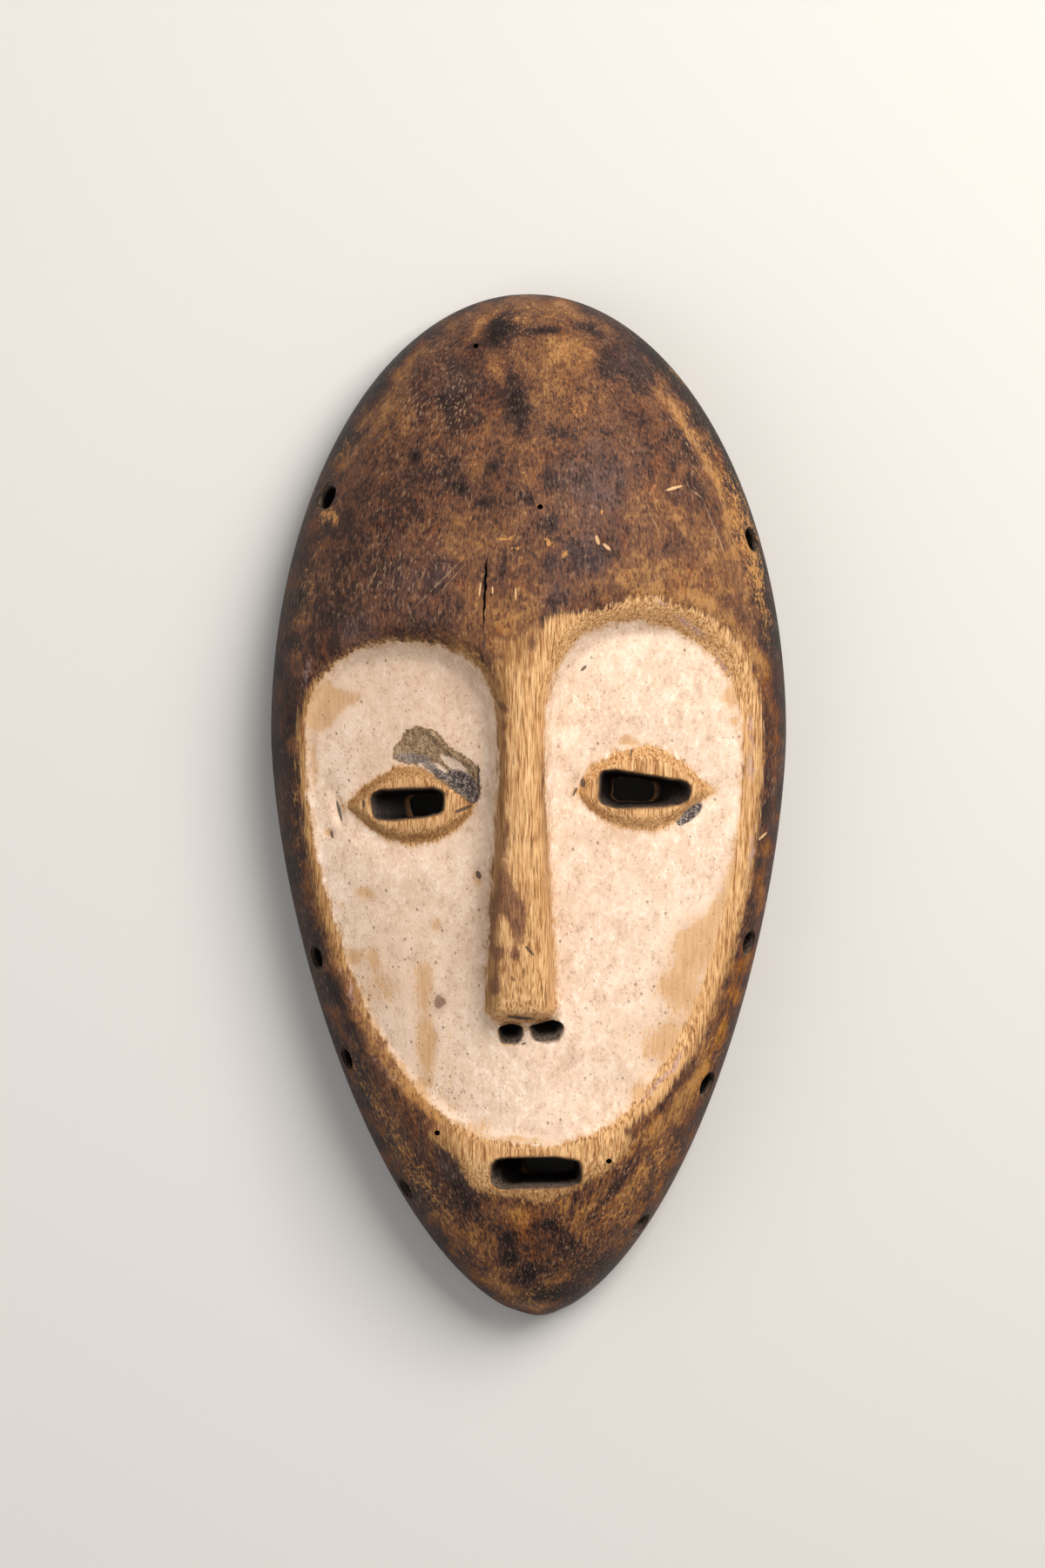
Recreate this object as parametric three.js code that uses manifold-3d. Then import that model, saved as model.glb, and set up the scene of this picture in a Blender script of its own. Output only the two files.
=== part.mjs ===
// A carved wooden face mask: one hollowed shell of wood, with a heart-shaped face cut into the
// front, a straight nose left standing, two slit eyes, a slot mouth and tie holes round the edge.
// Millimetres, +Z up. The mask lies on the flat back edge of its rim, with the crown towards +Y
// and the face upwards. The origin is the middle of the outline, on the plane of the back edge.

import * as THREE from 'three';
import { LoftGeometry } from 'three/addons/geometries/LoftGeometry.js';
import { mergeVertices } from 'three/addons/utils/BufferGeometryUtils.js';
import Module from 'manifold-3d';

// The block of wood
const MASK_LENGTH = 280; // chin to crown
const MASK_WIDTH = 141.5;
const MASK_DEPTH = 56; // back edge to the top of the brow
const BACK_EDGE_HEIGHT = 6; // upright band round the back, below the dome
const KEEL_HEIGHT = 1.2; // soft ridge down the middle of the forehead

// The hollow behind
const RIM_WIDTH = 9; // wood left between the outline and the hollow, at the back
const FACE_WALL = 12; // wood between the hollow and the face, at the middle
const BROW_WALL = 16; // wood between the hollow and the forehead

// The face, cut into the dome
const FACE_SINK = 13; // face surface below the top of the brow, at the middle of the eyes' level
const FACE_FALL = 19.5; // drop of the face from its middle to the outline
const FACE_MARGIN = 7.4; // uncut wood beside the face, at the widest level
const LEFT_BROW_RISE = 26.8; // brow arch above the widest level
const RIGHT_BROW_RISE = 33.4;
const BROW_SLOPE = 8.5; // width of the slope from the forehead down into the face
const CHEEK_SLOPE = 5;
const CHIN_SLOPE = 7;
const ARRIS_ROUNDING = 1.2; // how far the slopes' rounding reaches onto the uncut wood
const WORN_WIDTH = 6; // band of worn wood outside the face's edge and on the nose
const WORN_DROP = 1.2;

// The nose
const NOSE_OFFSET = -1.3; // the nose stands a little to the left of the middle
const BRIDGE_HALF_WIDTH = 4.9;
const NOSE_TIP_HALF_WIDTH = 7.6;
const NOSE_CORNER = 2.8; // rounding of the tip's two corners
const NOSE_FLANK = 2.6; // width of the flanks' slope
const BRIDGE_FLANK = 5;
const NOSE_END_SLOPE = 4;

// The eyes: an almond lid with a slit each, which is smaller at the hollow. Half lengths.
const LID_HEIGHT = 2.6;
const LID_SLOPE = 3.6;
const LID_FOOT = 0.6; // how far the lid's slope starts outside the almond
const TROUGH_DEPTH = 1.3; // hollow round each eye
const TROUGH_WIDTH = 6;
const EYES = {
  left: { outward: -1, lid: 17.4, lidRise: 10.4, lidDrop: 10, slit: [9.6, 4.2], inner: [4.6, 3.1], innerShift: [4.9, 0] },
  right: { outward: 1, lid: 18, lidRise: 11.6, lidDrop: 10.2, slit: [12, 4.6], inner: [5.6, 3.1], innerShift: [-3.2, 0.4] },
};

// The mouth: half length and half height at the front and at the hollow
const MOUTH_SLOT = [11.8, 4.2];
const MOUTH_INNER = [6.4, 3.1];
const MOUTH_INNER_SHIFT = [3.2, 2.1];

// Drilled holes
const NOSTRIL_RADIUS = 3.2;
const NOSTRIL_DEPTH = 5;
const TIE_HOLE_RADIUS = 2.8;
const TIE_HOLE_SLANT = 45; // degrees from upright, leaning in towards the hollow

// Places of the carving, as shares of the length and width from the middle of the outline
const WIDEST_LEVEL = 0.0714;
const CHIN_LEAN = 0.0155; // how far the chin leans to the right
const NOSE_TIP_LEVEL = -0.2;
const FACE_END_LEVEL = -0.3346;
const EYE_PLACES = { left: [-0.227, -0.0005], right: [0.221, 0.0135] };
const MOUTH_PLACE = [0.0146, -0.351];
const NOSTRIL_PLACES = [[-0.0316, -0.2193], [0.0375, -0.2157]];
const NOSTRIL_LEAN = -0.35; // the nostrils rise towards the tip of the nose

// Tie holes on each side: level as a share of the length, and distance inside the outline
const TIE_HOLES = {
  left: [[0.299, 4], [-0.148, 3.2], [-0.246, 2.8], [-0.373, 2.4]],
  right: [[0.258, 2.6], [-0.134, 2.6], [-0.271, 2.6], [-0.408, 2.4]],
};

// Shape of the block and the hollow: powers of the curves along and across them
const CROWN_WIDTH_POWERS = [2, 0.5];
const CHIN_WIDTH_POWERS = [1.62, 0.58];
const CROWN_CREST_POWER = 2.4;
const CHIN_CREST_POWER = 2.6;
const SECTION_POWER = 2.2;
const HOLLOW_CREST_POWER = 3.2;
const HOLLOW_SECTION_POWER = 2.6;
const LEAN_POWER = 1.5;
const KEEL_WIDTH = 0.09;

// Shape of the face's edge, the lids and the slots
const JAW_POWERS = [2, 0.45];
const ARCH_POWERS = { outer: 2, inner: 2.5 };
const LID_POWERS = { outer: 1.15, inner: 0.65 };
const SLOT_POWER = 3.2;
const FACE_TILT = 0.02; // the face rises slightly towards the brow

// How finely the curves are faceted
const TIP_GAP = 0.02; // the end rows stop this short of a point
const JAW_STEPS = 26;
const ARCH_STEPS = 22;
const FLANK_STEPS = 16;
const CORNER_STEPS = 4;
const END_ROWS = 7;
const CROWN_ROWS_START = 0.36;
const ROW_BANDS = [[-0.375, 7], [-0.225, 4], [-0.186, 7], [-0.052, 13], [0.066, 13], [0.2, 6]];
const NOSE_COLUMNS = [0, 0.42, 0.8, 1.05, 1.4];
const SIDE_COLUMNS = 20;
const EVEN_SPREAD = 0.45;
const HOLLOW_ROWS = 20;
const HOLLOW_SIDE_COLUMNS = 8;
const SLOT_CORNERS = 20;
const DRILL_SIDES = 12;

const { abs, cos, sin, exp, hypot, min, max, sign, sqrt, PI } = Math;
const { clamp, degToRad, lerp, smoothstep } = THREE.MathUtils;
const QUARTER = PI / 2;
const lengthwise = (share) => share * MASK_LENGTH;
const crosswise = (share) => share * MASK_WIDTH;
const placeOn = ([across, along]) => new THREE.Vector2(crosswise(across), lengthwise(along));

const widestLevel = lengthwise(WIDEST_LEVEL);
const noseTip = lengthwise(NOSE_TIP_LEVEL);
const faceHalfWidth = MASK_WIDTH / 2 - FACE_MARGIN;
const hollowLength = MASK_LENGTH - 2 * RIM_WIDTH;
const hollowWidth = MASK_WIDTH - 2 * RIM_WIDTH;

// Distance from the widest level, as a share of the way to the crown or to the chin
function reach(y, length = MASK_LENGTH) {
  const end = y > widestLevel ? length / 2 - widestLevel : length / 2 + widestLevel;
  return min(1, abs(y - widestLevel) / end);
}

// Half the width of an egg-shaped outline of the given length and width
function halfWidth(y, length = MASK_LENGTH, width = MASK_WIDTH) {
  const [inner, outer] = y > widestLevel ? CROWN_WIDTH_POWERS : CHIN_WIDTH_POWERS;
  return (width / 2) * (1 - reach(y, length) ** inner) ** outer;
}

function middleLine(y) {
  return y > widestLevel ? 0 : crosswise(CHIN_LEAN) * reach(y) ** LEAN_POWER;
}

// Height of the uncut dome: an arch across, on a crest line that falls to both ends
function domeHeight(x, y) {
  const power = y > widestLevel ? CROWN_CREST_POWER : CHIN_CREST_POWER;
  const crest = (MASK_DEPTH - BACK_EDGE_HEIGHT - KEEL_HEIGHT) * sqrt(1 - reach(y) ** power);
  const out = abs(x - middleLine(y));
  const across = min(1, out / halfWidth(y));
  const keel = KEEL_HEIGHT * exp(-((out / crosswise(KEEL_WIDTH)) ** 2)) * sqrt(1 - reach(y));
  return BACK_EDGE_HEIGHT + crest * sqrt(1 - across ** SECTION_POWER) + keel * sqrt(1 - across);
}

function noseHalfWidth(y) {
  return lerp(BRIDGE_HALF_WIDTH, NOSE_TIP_HALF_WIDTH, smoothstep(-y, -widestLevel, -noseTip));
}

// The edge of the cut face as a closed line: cheeks and chin, two brow arches, and an inlet round
// the nose. Each point carries the width of the slope that runs inwards from it.
function faceOutline() {
  const points = [];
  const add = (x, y, slope) => points.push({ x: x + middleLine(y), y, slope });
  const jawDrop = widestLevel - lengthwise(FACE_END_LEVEL);
  for (let i = 1; i < 2 * JAW_STEPS; i++) {
    const angle = (i / JAW_STEPS) * QUARTER;
    const down = sin(angle);
    const out = faceHalfWidth * (1 - down ** JAW_POWERS[0]) ** JAW_POWERS[1];
    add(sign(cos(angle)) * out, widestLevel - jawDrop * down, lerp(CHEEK_SLOPE, CHIN_SLOPE, down ** 3));
  }
  const arch = (from, to, rise) => {
    for (let i = 0; i <= ARCH_STEPS; i++) {
      const angle = PI * (1 - i / ARCH_STEPS);
      const [c, s] = [cos(angle), sin(angle)];
      const towardsNose = from < 0 === c > 0;
      const power = 2 / (towardsNose ? ARCH_POWERS.inner : ARCH_POWERS.outer);
      const x = (from + to) / 2 + ((to - from) / 2) * sign(c) * abs(c) ** power;
      add(x, widestLevel + rise * s ** power, lerp(towardsNose ? BRIDGE_FLANK : CHEEK_SLOPE, BROW_SLOPE, s));
    }
  };
  const flank = (side, share) => {
    const y = lerp(widestLevel, noseTip + NOSE_CORNER, share);
    const slope = lerp(BRIDGE_FLANK, NOSE_FLANK, smoothstep(share, 0, 0.5));
    add(NOSE_OFFSET + side * noseHalfWidth(y), y, slope);
  };
  const corner = (side, start) => {
    for (let i = 1; i <= CORNER_STEPS; i++) {
      const angle = start + (i / CORNER_STEPS) * QUARTER;
      const x = NOSE_OFFSET + side * (NOSE_TIP_HALF_WIDTH - NOSE_CORNER) + NOSE_CORNER * cos(angle);
      add(x, noseTip + NOSE_CORNER * (1 + sin(angle)), NOSE_END_SLOPE);
    }
  };
  arch(-faceHalfWidth, NOSE_OFFSET - BRIDGE_HALF_WIDTH, LEFT_BROW_RISE);
  for (let i = 1; i <= FLANK_STEPS; i++) flank(-1, i / FLANK_STEPS);
  corner(-1, PI);
  corner(1, PI + QUARTER);
  for (let i = FLANK_STEPS; i >= 1; i--) flank(1, i / FLANK_STEPS);
  arch(NOSE_OFFSET + BRIDGE_HALF_WIDTH, faceHalfWidth, RIGHT_BROW_RISE);
  return points;
}

const outline = faceOutline();

// How far a place lies inside the face's edge (negative outside), and the slope's width there
function insideFace(x, y) {
  let nearest = Infinity;
  let slope = 0;
  let inside = false;
  outline.forEach((a, i) => {
    const b = outline[(i + 1) % outline.length];
    const [ex, ey] = [b.x - a.x, b.y - a.y];
    const along = clamp(((x - a.x) * ex + (y - a.y) * ey) / (ex * ex + ey * ey || 1), 0, 1);
    const gap = hypot(x - a.x - along * ex, y - a.y - along * ey);
    if (gap < nearest) {
      nearest = gap;
      slope = lerp(a.slope, b.slope, along);
    }
    if (a.y > y !== b.y > y && x < a.x + ((y - a.y) / ey) * ex) inside = !inside;
  });
  return { depth: inside ? nearest : -nearest, slope };
}

// The level of the cut face before its slopes: highest along its middle, falling to both sides
function faceLevel(x, y) {
  const across = (x - middleLine(y)) / halfWidth(y);
  return MASK_DEPTH - FACE_SINK + FACE_TILT * y - FACE_FALL * across * across;
}

// Distance inside a lid's almond, which is round towards the nose and pointed outwards
function insideLid(side, x, y) {
  const eye = EYES[side];
  const middle = placeOn(EYE_PLACES[side]);
  const along = (eye.outward * (x - middle.x)) / eye.lid;
  const open = max(0, 1 - along * along) ** (along > 0 ? LID_POWERS.outer : LID_POWERS.inner);
  const up = y - middle.y;
  return min((up > 0 ? eye.lidRise : eye.lidDrop) * open - abs(up), (1 - abs(along)) * eye.lid);
}

function eyeRelief(x, y) {
  return Object.keys(EYES).reduce((relief, side) => {
    const depth = insideLid(side, x, y);
    const lid = LID_HEIGHT * smoothstep(depth, -LID_FOOT, LID_SLOPE);
    return relief + lid - TROUGH_DEPTH * exp(-((min(depth, 0) / TROUGH_WIDTH) ** 2));
  }, 0);
}

// The carved front: the dome, worn along the face's edge, and cut down to the face inside it
function frontHeight(x, y) {
  const { depth, slope } = insideFace(x, y);
  const worn = WORN_DROP * (1 - clamp(-depth / WORN_WIDTH, 0, 1)) ** 2;
  const dome = max(BACK_EDGE_HEIGHT, domeHeight(x, y) - worn);
  const cut = smoothstep(depth, -ARRIS_ROUNDING, slope);
  return dome - cut * (max(0, dome - faceLevel(x, y)) - eyeRelief(x, y));
}

// Height of the hollow's ceiling, a smaller dome that is deeper behind the forehead
function hollowHeight(x, y) {
  const browwards = smoothstep(y, widestLevel, widestLevel + LEFT_BROW_RISE);
  const depth = lerp(MASK_DEPTH - FACE_SINK - FACE_WALL, MASK_DEPTH - BROW_WALL, browwards);
  const across = min(1, abs(x - middleLine(y)) / halfWidth(y, hollowLength, hollowWidth));
  const crest = depth * sqrt(1 - reach(y, hollowLength) ** HOLLOW_CREST_POWER);
  return crest * sqrt(1 - across ** HOLLOW_SECTION_POWER);
}

// Levels along the length: close together over the eyes, the brow and the tip of the nose
function rowLevels() {
  const [chinRowsStart] = ROW_BANDS[0];
  const ends = Array.from({ length: END_ROWS }, (_, i) => cos((i / END_ROWS) * QUARTER));
  const chinEnd = ends.map((share) => lerp(chinRowsStart, -0.5, share));
  const crownEnd = [...ends].reverse().map((share) => lerp(CROWN_ROWS_START, 0.5, share));
  const between = ROW_BANDS.flatMap(([from, count], band) => {
    const to = band + 1 < ROW_BANDS.length ? ROW_BANDS[band + 1][0] : CROWN_ROWS_START;
    return Array.from({ length: count }, (_, i) => lerp(from, to, i / count));
  });
  const levels = [...chinEnd, ...between, CROWN_ROWS_START, ...crownEnd];
  return levels.map((share) => share * (MASK_LENGTH - 2 * TIP_GAP));
}

// Places across one level, from left to right: columns follow the nose, then fan out to the edge
function rowPlaces(y) {
  const edge = halfWidth(y);
  const foot = min(noseHalfWidth(y), edge / 8);
  const noseLine = middleLine(y) + NOSE_OFFSET * min(1, (2 * edge) / faceHalfWidth);
  const half = (side) => {
    const places = NOSE_COLUMNS.map((share) => noseLine + side * share * foot);
    const start = places[places.length - 1];
    for (let i = 1; i <= SIDE_COLUMNS; i++) {
      const share = i / SIDE_COLUMNS;
      const spread = lerp(sin(share * QUARTER), share, EVEN_SPREAD);
      places.push(lerp(start, middleLine(y) + side * edge, spread));
    }
    return places;
  };
  return [...half(-1).slice(1).reverse(), ...half(1)];
}

// The whole outside: one section for each level, up the band at the back and over the front
function carvedBlock() {
  const sections = rowLevels().map((y) => {
    const places = rowPlaces(y);
    const [left, right] = [places[0], places[places.length - 1]];
    const over = places.slice(1, -1).map((x) => new THREE.Vector3(x, y, frontHeight(x, y)));
    const upright = (x, heights) => heights.map((z) => new THREE.Vector3(x, y, z));
    return [...upright(left, [0, BACK_EDGE_HEIGHT]), ...over, ...upright(right, [BACK_EDGE_HEIGHT, 0])];
  });
  const block = new LoftGeometry(sections, { closed: true, capStart: true, capEnd: true });
  splitAlongCarving(block, (sections.length - 1) * sections[0].length);
  return block;
}

// Splits each four-cornered patch of a loft along the diagonal that lies closer to the carving
function splitAlongCarving(loft, patches) {
  const corner = (n) => new THREE.Vector3().fromBufferAttribute(loft.attributes.position, n);
  const miss = (p, q) => {
    const middle = corner(p).lerp(corner(q), 0.5);
    return abs(middle.z - frontHeight(middle.x, middle.y));
  };
  const index = loft.index.array;
  for (let i = 0; i < patches * 6; i += 6) {
    const [a, b, d, , c] = index.slice(i, i + 6);
    if (miss(a, c) < miss(b, d)) index.set([a, b, c, a, c, d], i);
  }
}

// The hollow as a solid that reaches out below the back
function hollow() {
  const sections = [];
  for (let i = 0; i <= HOLLOW_ROWS; i++) {
    const y = (hollowLength / 2 - TIP_GAP) * sin(lerp(-QUARTER, QUARTER, i / HOLLOW_ROWS));
    const edge = halfWidth(y, hollowLength, hollowWidth);
    const section = [];
    for (let j = -HOLLOW_SIDE_COLUMNS; j <= HOLLOW_SIDE_COLUMNS; j++) {
      const x = middleLine(y) + edge * sin((j / HOLLOW_SIDE_COLUMNS) * QUARTER);
      section.push(new THREE.Vector3(x, y, hollowHeight(x, y)));
    }
    const below = (corner) => new THREE.Vector3(corner.x, y, -BACK_EDGE_HEIGHT);
    sections.push([below(section[0]), ...section, below(section[section.length - 1])]);
  }
  return new LoftGeometry(sections, { closed: true, capStart: true, capEnd: true });
}

// A slot through the wall: one outline on the front, which narrows to a smaller one at the hollow.
// Outlines are superellipses, given by their middle and [half length, half height].
function slotThrough(place, size, innerShift, innerSize) {
  const inner = place.clone().add(new THREE.Vector2(...innerShift));
  const overshoot = LID_HEIGHT + TROUGH_DEPTH;
  const ring = (middle, [halfLength, halfHeight], heightAt) => (
    Array.from({ length: SLOT_CORNERS }, (_, i) => {
      const angle = ((i + 0.5) / SLOT_CORNERS) * 4 * QUARTER;
      const [c, s] = [cos(angle), sin(angle)];
      const x = middle.x + halfLength * sign(c) * abs(c) ** (2 / SLOT_POWER);
      const y = middle.y + halfHeight * sign(s) * abs(s) ** (2 / SLOT_POWER);
      return new THREE.Vector3(x, y, heightAt(x, y));
    })
  );
  const rings = [
    ring(inner, innerSize, () => 0),
    ring(inner, innerSize, hollowHeight),
    ring(place, size, (x, y) => frontHeight(x, y) - ARRIS_ROUNDING),
    ring(place, size, () => MASK_DEPTH + overshoot),
  ];
  return new LoftGeometry(rings, { closed: true, capStart: true, capEnd: true });
}

const eyeSlit = (side) => (
  slotThrough(placeOn(EYE_PLACES[side]), EYES[side].slit, EYES[side].innerShift, EYES[side].inner)
);

const mouthSlot = () => slotThrough(placeOn(MOUTH_PLACE), MOUTH_SLOT, MOUTH_INNER_SHIFT, MOUTH_INNER);

// A round drill with its middle at a place, reaching as far both ways
function drill(place, direction, radius, reachEachWay) {
  const bit = new THREE.CylinderGeometry(radius, radius, 2 * reachEachWay, DRILL_SIDES);
  const upright = new THREE.Vector3(0, 1, 0);
  bit.applyQuaternion(new THREE.Quaternion().setFromUnitVectors(upright, direction.normalize()));
  return bit.translate(place.x, place.y, place.z);
}

function nostril(share) {
  const { x, y } = placeOn(share);
  const direction = new THREE.Vector3(0, NOSTRIL_LEAN, 1);
  return drill(new THREE.Vector3(x, y, faceLevel(x, y)), direction, NOSTRIL_RADIUS, NOSTRIL_DEPTH);
}

// A tie hole slants in from just inside the outline to the hollow
function tieHole(side, [share, inset]) {
  const y = lengthwise(share);
  const x = middleLine(y) + side * (halfWidth(y) - inset);
  const slant = degToRad(TIE_HOLE_SLANT);
  const narrowing = (halfWidth(y + inset) - halfWidth(y - inset)) / (2 * inset);
  const outward = new THREE.Vector3(side, -narrowing, 0).normalize().multiplyScalar(sin(slant));
  const direction = outward.setZ(cos(slant));
  return drill(new THREE.Vector3(x, y, domeHeight(x, y)), direction, TIE_HOLE_RADIUS, 2 * RIM_WIDTH);
}

// A closed three.js geometry as a solid that can be cut, and back again
const wasm = await Module();
wasm.setup();

function solidFrom(geometry) {
  const bare = new THREE.BufferGeometry().copy(geometry);
  bare.deleteAttribute('normal');
  bare.deleteAttribute('uv');
  const merged = mergeVertices(bare, 1e-4);
  return new wasm.Manifold(new wasm.Mesh({
    numProp: 3,
    vertProperties: merged.attributes.position.array,
    triVerts: new Uint32Array(merged.index.array),
  }));
}

function geometryFrom(solid) {
  const { vertProperties, triVerts } = solid.getMesh();
  const geometry = new THREE.BufferGeometry();
  geometry.setAttribute('position', new THREE.BufferAttribute(vertProperties, 3));
  geometry.setIndex(new THREE.BufferAttribute(triVerts, 1));
  geometry.computeVertexNormals();
  return geometry;
}

function carveMask() {
  const cuts = [
    hollow(), eyeSlit('left'), eyeSlit('right'), mouthSlot(),
    ...NOSTRIL_PLACES.map(nostril),
    ...TIE_HOLES.left.map((hole) => tieHole(-1, hole)),
    ...TIE_HOLES.right.map((hole) => tieHole(1, hole)),
  ];
  const solid = cuts.reduce((block, cut) => block.subtract(solidFrom(cut)), solidFrom(carvedBlock()));
  return geometryFrom(solid);
}

const wood = new THREE.MeshStandardMaterial({ color: 0x6f4a2a, roughness: 0.6, metalness: 0 });
const mask = new THREE.Mesh(carveMask(), wood);
mask.name = 'carved_mask';

const group = new THREE.Group();
group.add(mask);

export default group;
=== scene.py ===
"""Looks of a carved wooden face mask: one old, handled shell of wood with a clay-whitened face."""

import math
from types import SimpleNamespace

import bmesh
import bpy
import numpy as np
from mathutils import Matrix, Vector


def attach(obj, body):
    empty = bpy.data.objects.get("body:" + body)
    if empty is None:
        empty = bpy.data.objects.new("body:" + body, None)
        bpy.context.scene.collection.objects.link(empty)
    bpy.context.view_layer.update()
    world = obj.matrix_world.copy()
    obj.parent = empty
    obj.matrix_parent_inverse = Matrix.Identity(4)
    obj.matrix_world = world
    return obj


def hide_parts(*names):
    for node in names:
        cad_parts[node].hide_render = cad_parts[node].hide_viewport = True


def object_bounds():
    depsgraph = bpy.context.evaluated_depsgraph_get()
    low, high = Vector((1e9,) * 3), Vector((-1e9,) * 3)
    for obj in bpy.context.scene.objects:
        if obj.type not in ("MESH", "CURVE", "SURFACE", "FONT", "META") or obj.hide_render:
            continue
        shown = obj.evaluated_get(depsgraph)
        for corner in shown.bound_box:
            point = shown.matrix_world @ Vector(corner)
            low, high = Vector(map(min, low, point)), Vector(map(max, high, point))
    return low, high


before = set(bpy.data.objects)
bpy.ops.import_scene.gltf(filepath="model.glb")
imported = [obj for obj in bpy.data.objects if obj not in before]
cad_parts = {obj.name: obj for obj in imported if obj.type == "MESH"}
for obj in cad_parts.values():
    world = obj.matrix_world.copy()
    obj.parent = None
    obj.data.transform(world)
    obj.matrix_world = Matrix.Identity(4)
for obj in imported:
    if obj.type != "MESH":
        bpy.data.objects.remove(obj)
CAD_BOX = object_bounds()
CAD_SIZE = CAD_BOX[1] - CAD_BOX[0]

bl_info = {
    "name": "Carved face mask",
    "version": (1, 0, 0),
    "blender": (4, 5, 0),
    "location": "3D View > Sidebar > Mask",
    "description": "Carves a wooden face mask and gives it its worn patina and clay coat",
    "category": "Add Mesh",
}

# Lengths below are in millimetres, and places are [to the right, up] from the middle of the mask.
MM = 0.001
CAD_NODE = "carved_mask"

# The block of wood
BACK_EDGE_HEIGHT = 6.0
BACK_EDGE_ROUNDING = 1.4
KEEL_HEIGHT = 1.2
KEEL_WIDTH = 0.09
WIDEST_LEVEL = 0.0714
CHIN_LEAN = 0.0155
LEAN_POWER = 1.5
CROWN_WIDTH_POWERS = (2.0, 0.5)
CHIN_WIDTH_POWERS = (1.62, 0.58)
CROWN_CREST_POWER = 2.4
CHIN_CREST_POWER = 2.6
SECTION_POWER = 2.2
TIP_GAP = 0.03
LEAST_HEIGHT = 1.0
TOP_MARGIN = 0.12

# The hollow behind
RIM_WIDTH = 9.0
FACE_WALL = 12.0
BROW_WALL = 16.0
HOLLOW_CREST_POWER = 3.2
HOLLOW_SECTION_POWER = 2.6
LEAST_CEILING = 0.9

# The hollow's mouth as [how far outside the hollow, level], and the gouge's scoops
HOLLOW_MOUTH = ((1.5, -4.0), (1.5, 0.0), (0.7, 0.25), (0.25, 0.7))
HOLLOW_FAN = 0.985
SCOOP_SIZE = (9, 17)
SCOOP_DEPTH = 0.85

# The face, cut into the dome
FACE_SINK = 13.0
FACE_TILT = 0.02
FACE_FALL = 19.5
FACE_MARGIN = 7.4
FACE_END_LEVEL = -0.3346
JAW_POWERS = (2.0, 0.45)
ARCH_POWERS = (2.0, 2.5)
BROW_RISES = {-1: 26.8, 1: 33.4}
BROW_SLOPE = 8.5
CHEEK_SLOPE = 5.0
CHIN_SLOPE = 7.0
ARRIS_ROUNDING = 1.2
WORN_WIDTH = 6.0
WORN_DROP = 1.2

# The nose
NOSE_OFFSET = -2.0
NOSE_TIP_LEVEL = -0.2
BRIDGE_HALF_WIDTH = 4.9
NOSE_TIP_HALF_WIDTH = 7.6
NOSE_CORNER = 2.8
NOSE_FLANK = 2.6
BRIDGE_FLANK = 5.0
NOSE_END_SLOPE = 4.0

# The eyes: place, lid half length, rise and drop, for the left and the right eye
EYES = {
    -1: {"place": (-32.1, -0.1), "lid": 17.4, "rise": 10.4, "drop": 10.0},
    1: {"place": (31.3, 3.8), "lid": 18.0, "rise": 11.6, "drop": 10.2},
}
LID_HEIGHT = 2.6
LID_SLOPE = 3.6
LID_FOOT = 0.6
LID_POWERS = (1.15, 0.65)
TROUGH_DEPTH = 1.3
TROUGH_WIDTH = 6.0

# Slots through the wall: half sizes in front and at the hollow, how the outline leans, and how much
# of its lit lower wall stays grey against the painted shade deeper in the cut
SLOTS = {
    "left eye": {
        "place": (-32.4, 0.5), "half": (9.7, 3.9), "turn": 4.0, "taper": -0.08, "droop": 0.25, "lit": 0.1,
        "inner_place": (-27.2, -0.1), "inner_half": (4.6, 3.1),
    },
    "right eye": {
        "place": (30.8, 4.0), "half": (12.2, 4.3), "turn": -3.5, "taper": -0.24, "droop": -0.3, "lit": 0.3,
        "inner_place": (28.1, 4.2), "inner_half": (5.6, 3.1),
    },
    "mouth": {
        "place": (1.9, -98.2), "half": (12.0, 4.1), "turn": 1.0, "taper": -0.03, "droop": 0.1, "lit": 1.0,
        "inner_place": (5.3, -96.2), "inner_half": (6.4, 3.1),
    },
}
SLOT_POWER = 4.4

# Rings of a slot as [grown by, lifted by], and its uneven edge as [height, waves round it, shift]
SLOT_INNER_RINGS = ((1.6, -3.0), (0.4, -0.8), (0.0, 0.8))
SLOT_OUTER_RINGS = ((-0.25, -3.2), (0.0, -1.5), (0.12, -0.6), (0.4, -0.15), (0.95, 0.25), (1.5, 0.9))
SLOT_CLEARANCE = 6
SLOT_WAVES = ((0.16, 3, 1), (0.1, 7, 2), (0.07, 13, 1))

# Drilled holes: nostrils as place and half sizes, tie holes as level, inset and width of the lip
NOSTRILS = (((-4.9, -60.8), (3.1, 3.0)), ((4.9, -60.0), (4.1, 3.1)))
TIE_HOLES = {
    -1: ((83.7, 4.6, 1.9), (-41.4, 3.3, 1.35), (-68.9, 2.9, 1.3), (-104.4, 2.5, 1.25)),
    1: ((72.2, 2.8, 1.5), (-37.5, 2.9, 1.5), (-75.9, 2.9, 1.6), (-114.2, 2.5, 1.4)),
}
TIE_HOLE_RADIUS = 2.8
TIE_HOLE_SLANT = 45.0
TIE_HOLE_WOBBLE = 0.03
TIE_HOLE_WIDENING = ((0, 0), (0.4, 0), (0.47, 0.25), (0.53, 1), (0.58, 1.8), (1, 1.8))
NOSTRIL_LEANS = (2.2, -2.0)
NOSTRIL_REACH = 5.5
NOSTRIL_WOBBLE = 0.09
NOSTRIL_PROFILE = ((0, 0.45), (0.12, 0.8), (0.45, 1.0), (0.52, 1.12), (1, 1.3))
WORM_HOLES = ((-14.3, 123.6), (2.9, 79.1), (-24.6, -87.6), (21.3, -95.1))
WORM_HOLE_RADIUS = 0.75
WORM_HOLE_DEPTH = 5.0
WORM_HOLE_LEAN = 0.4
WORM_HOLE_WOBBLE = 0.05

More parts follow.
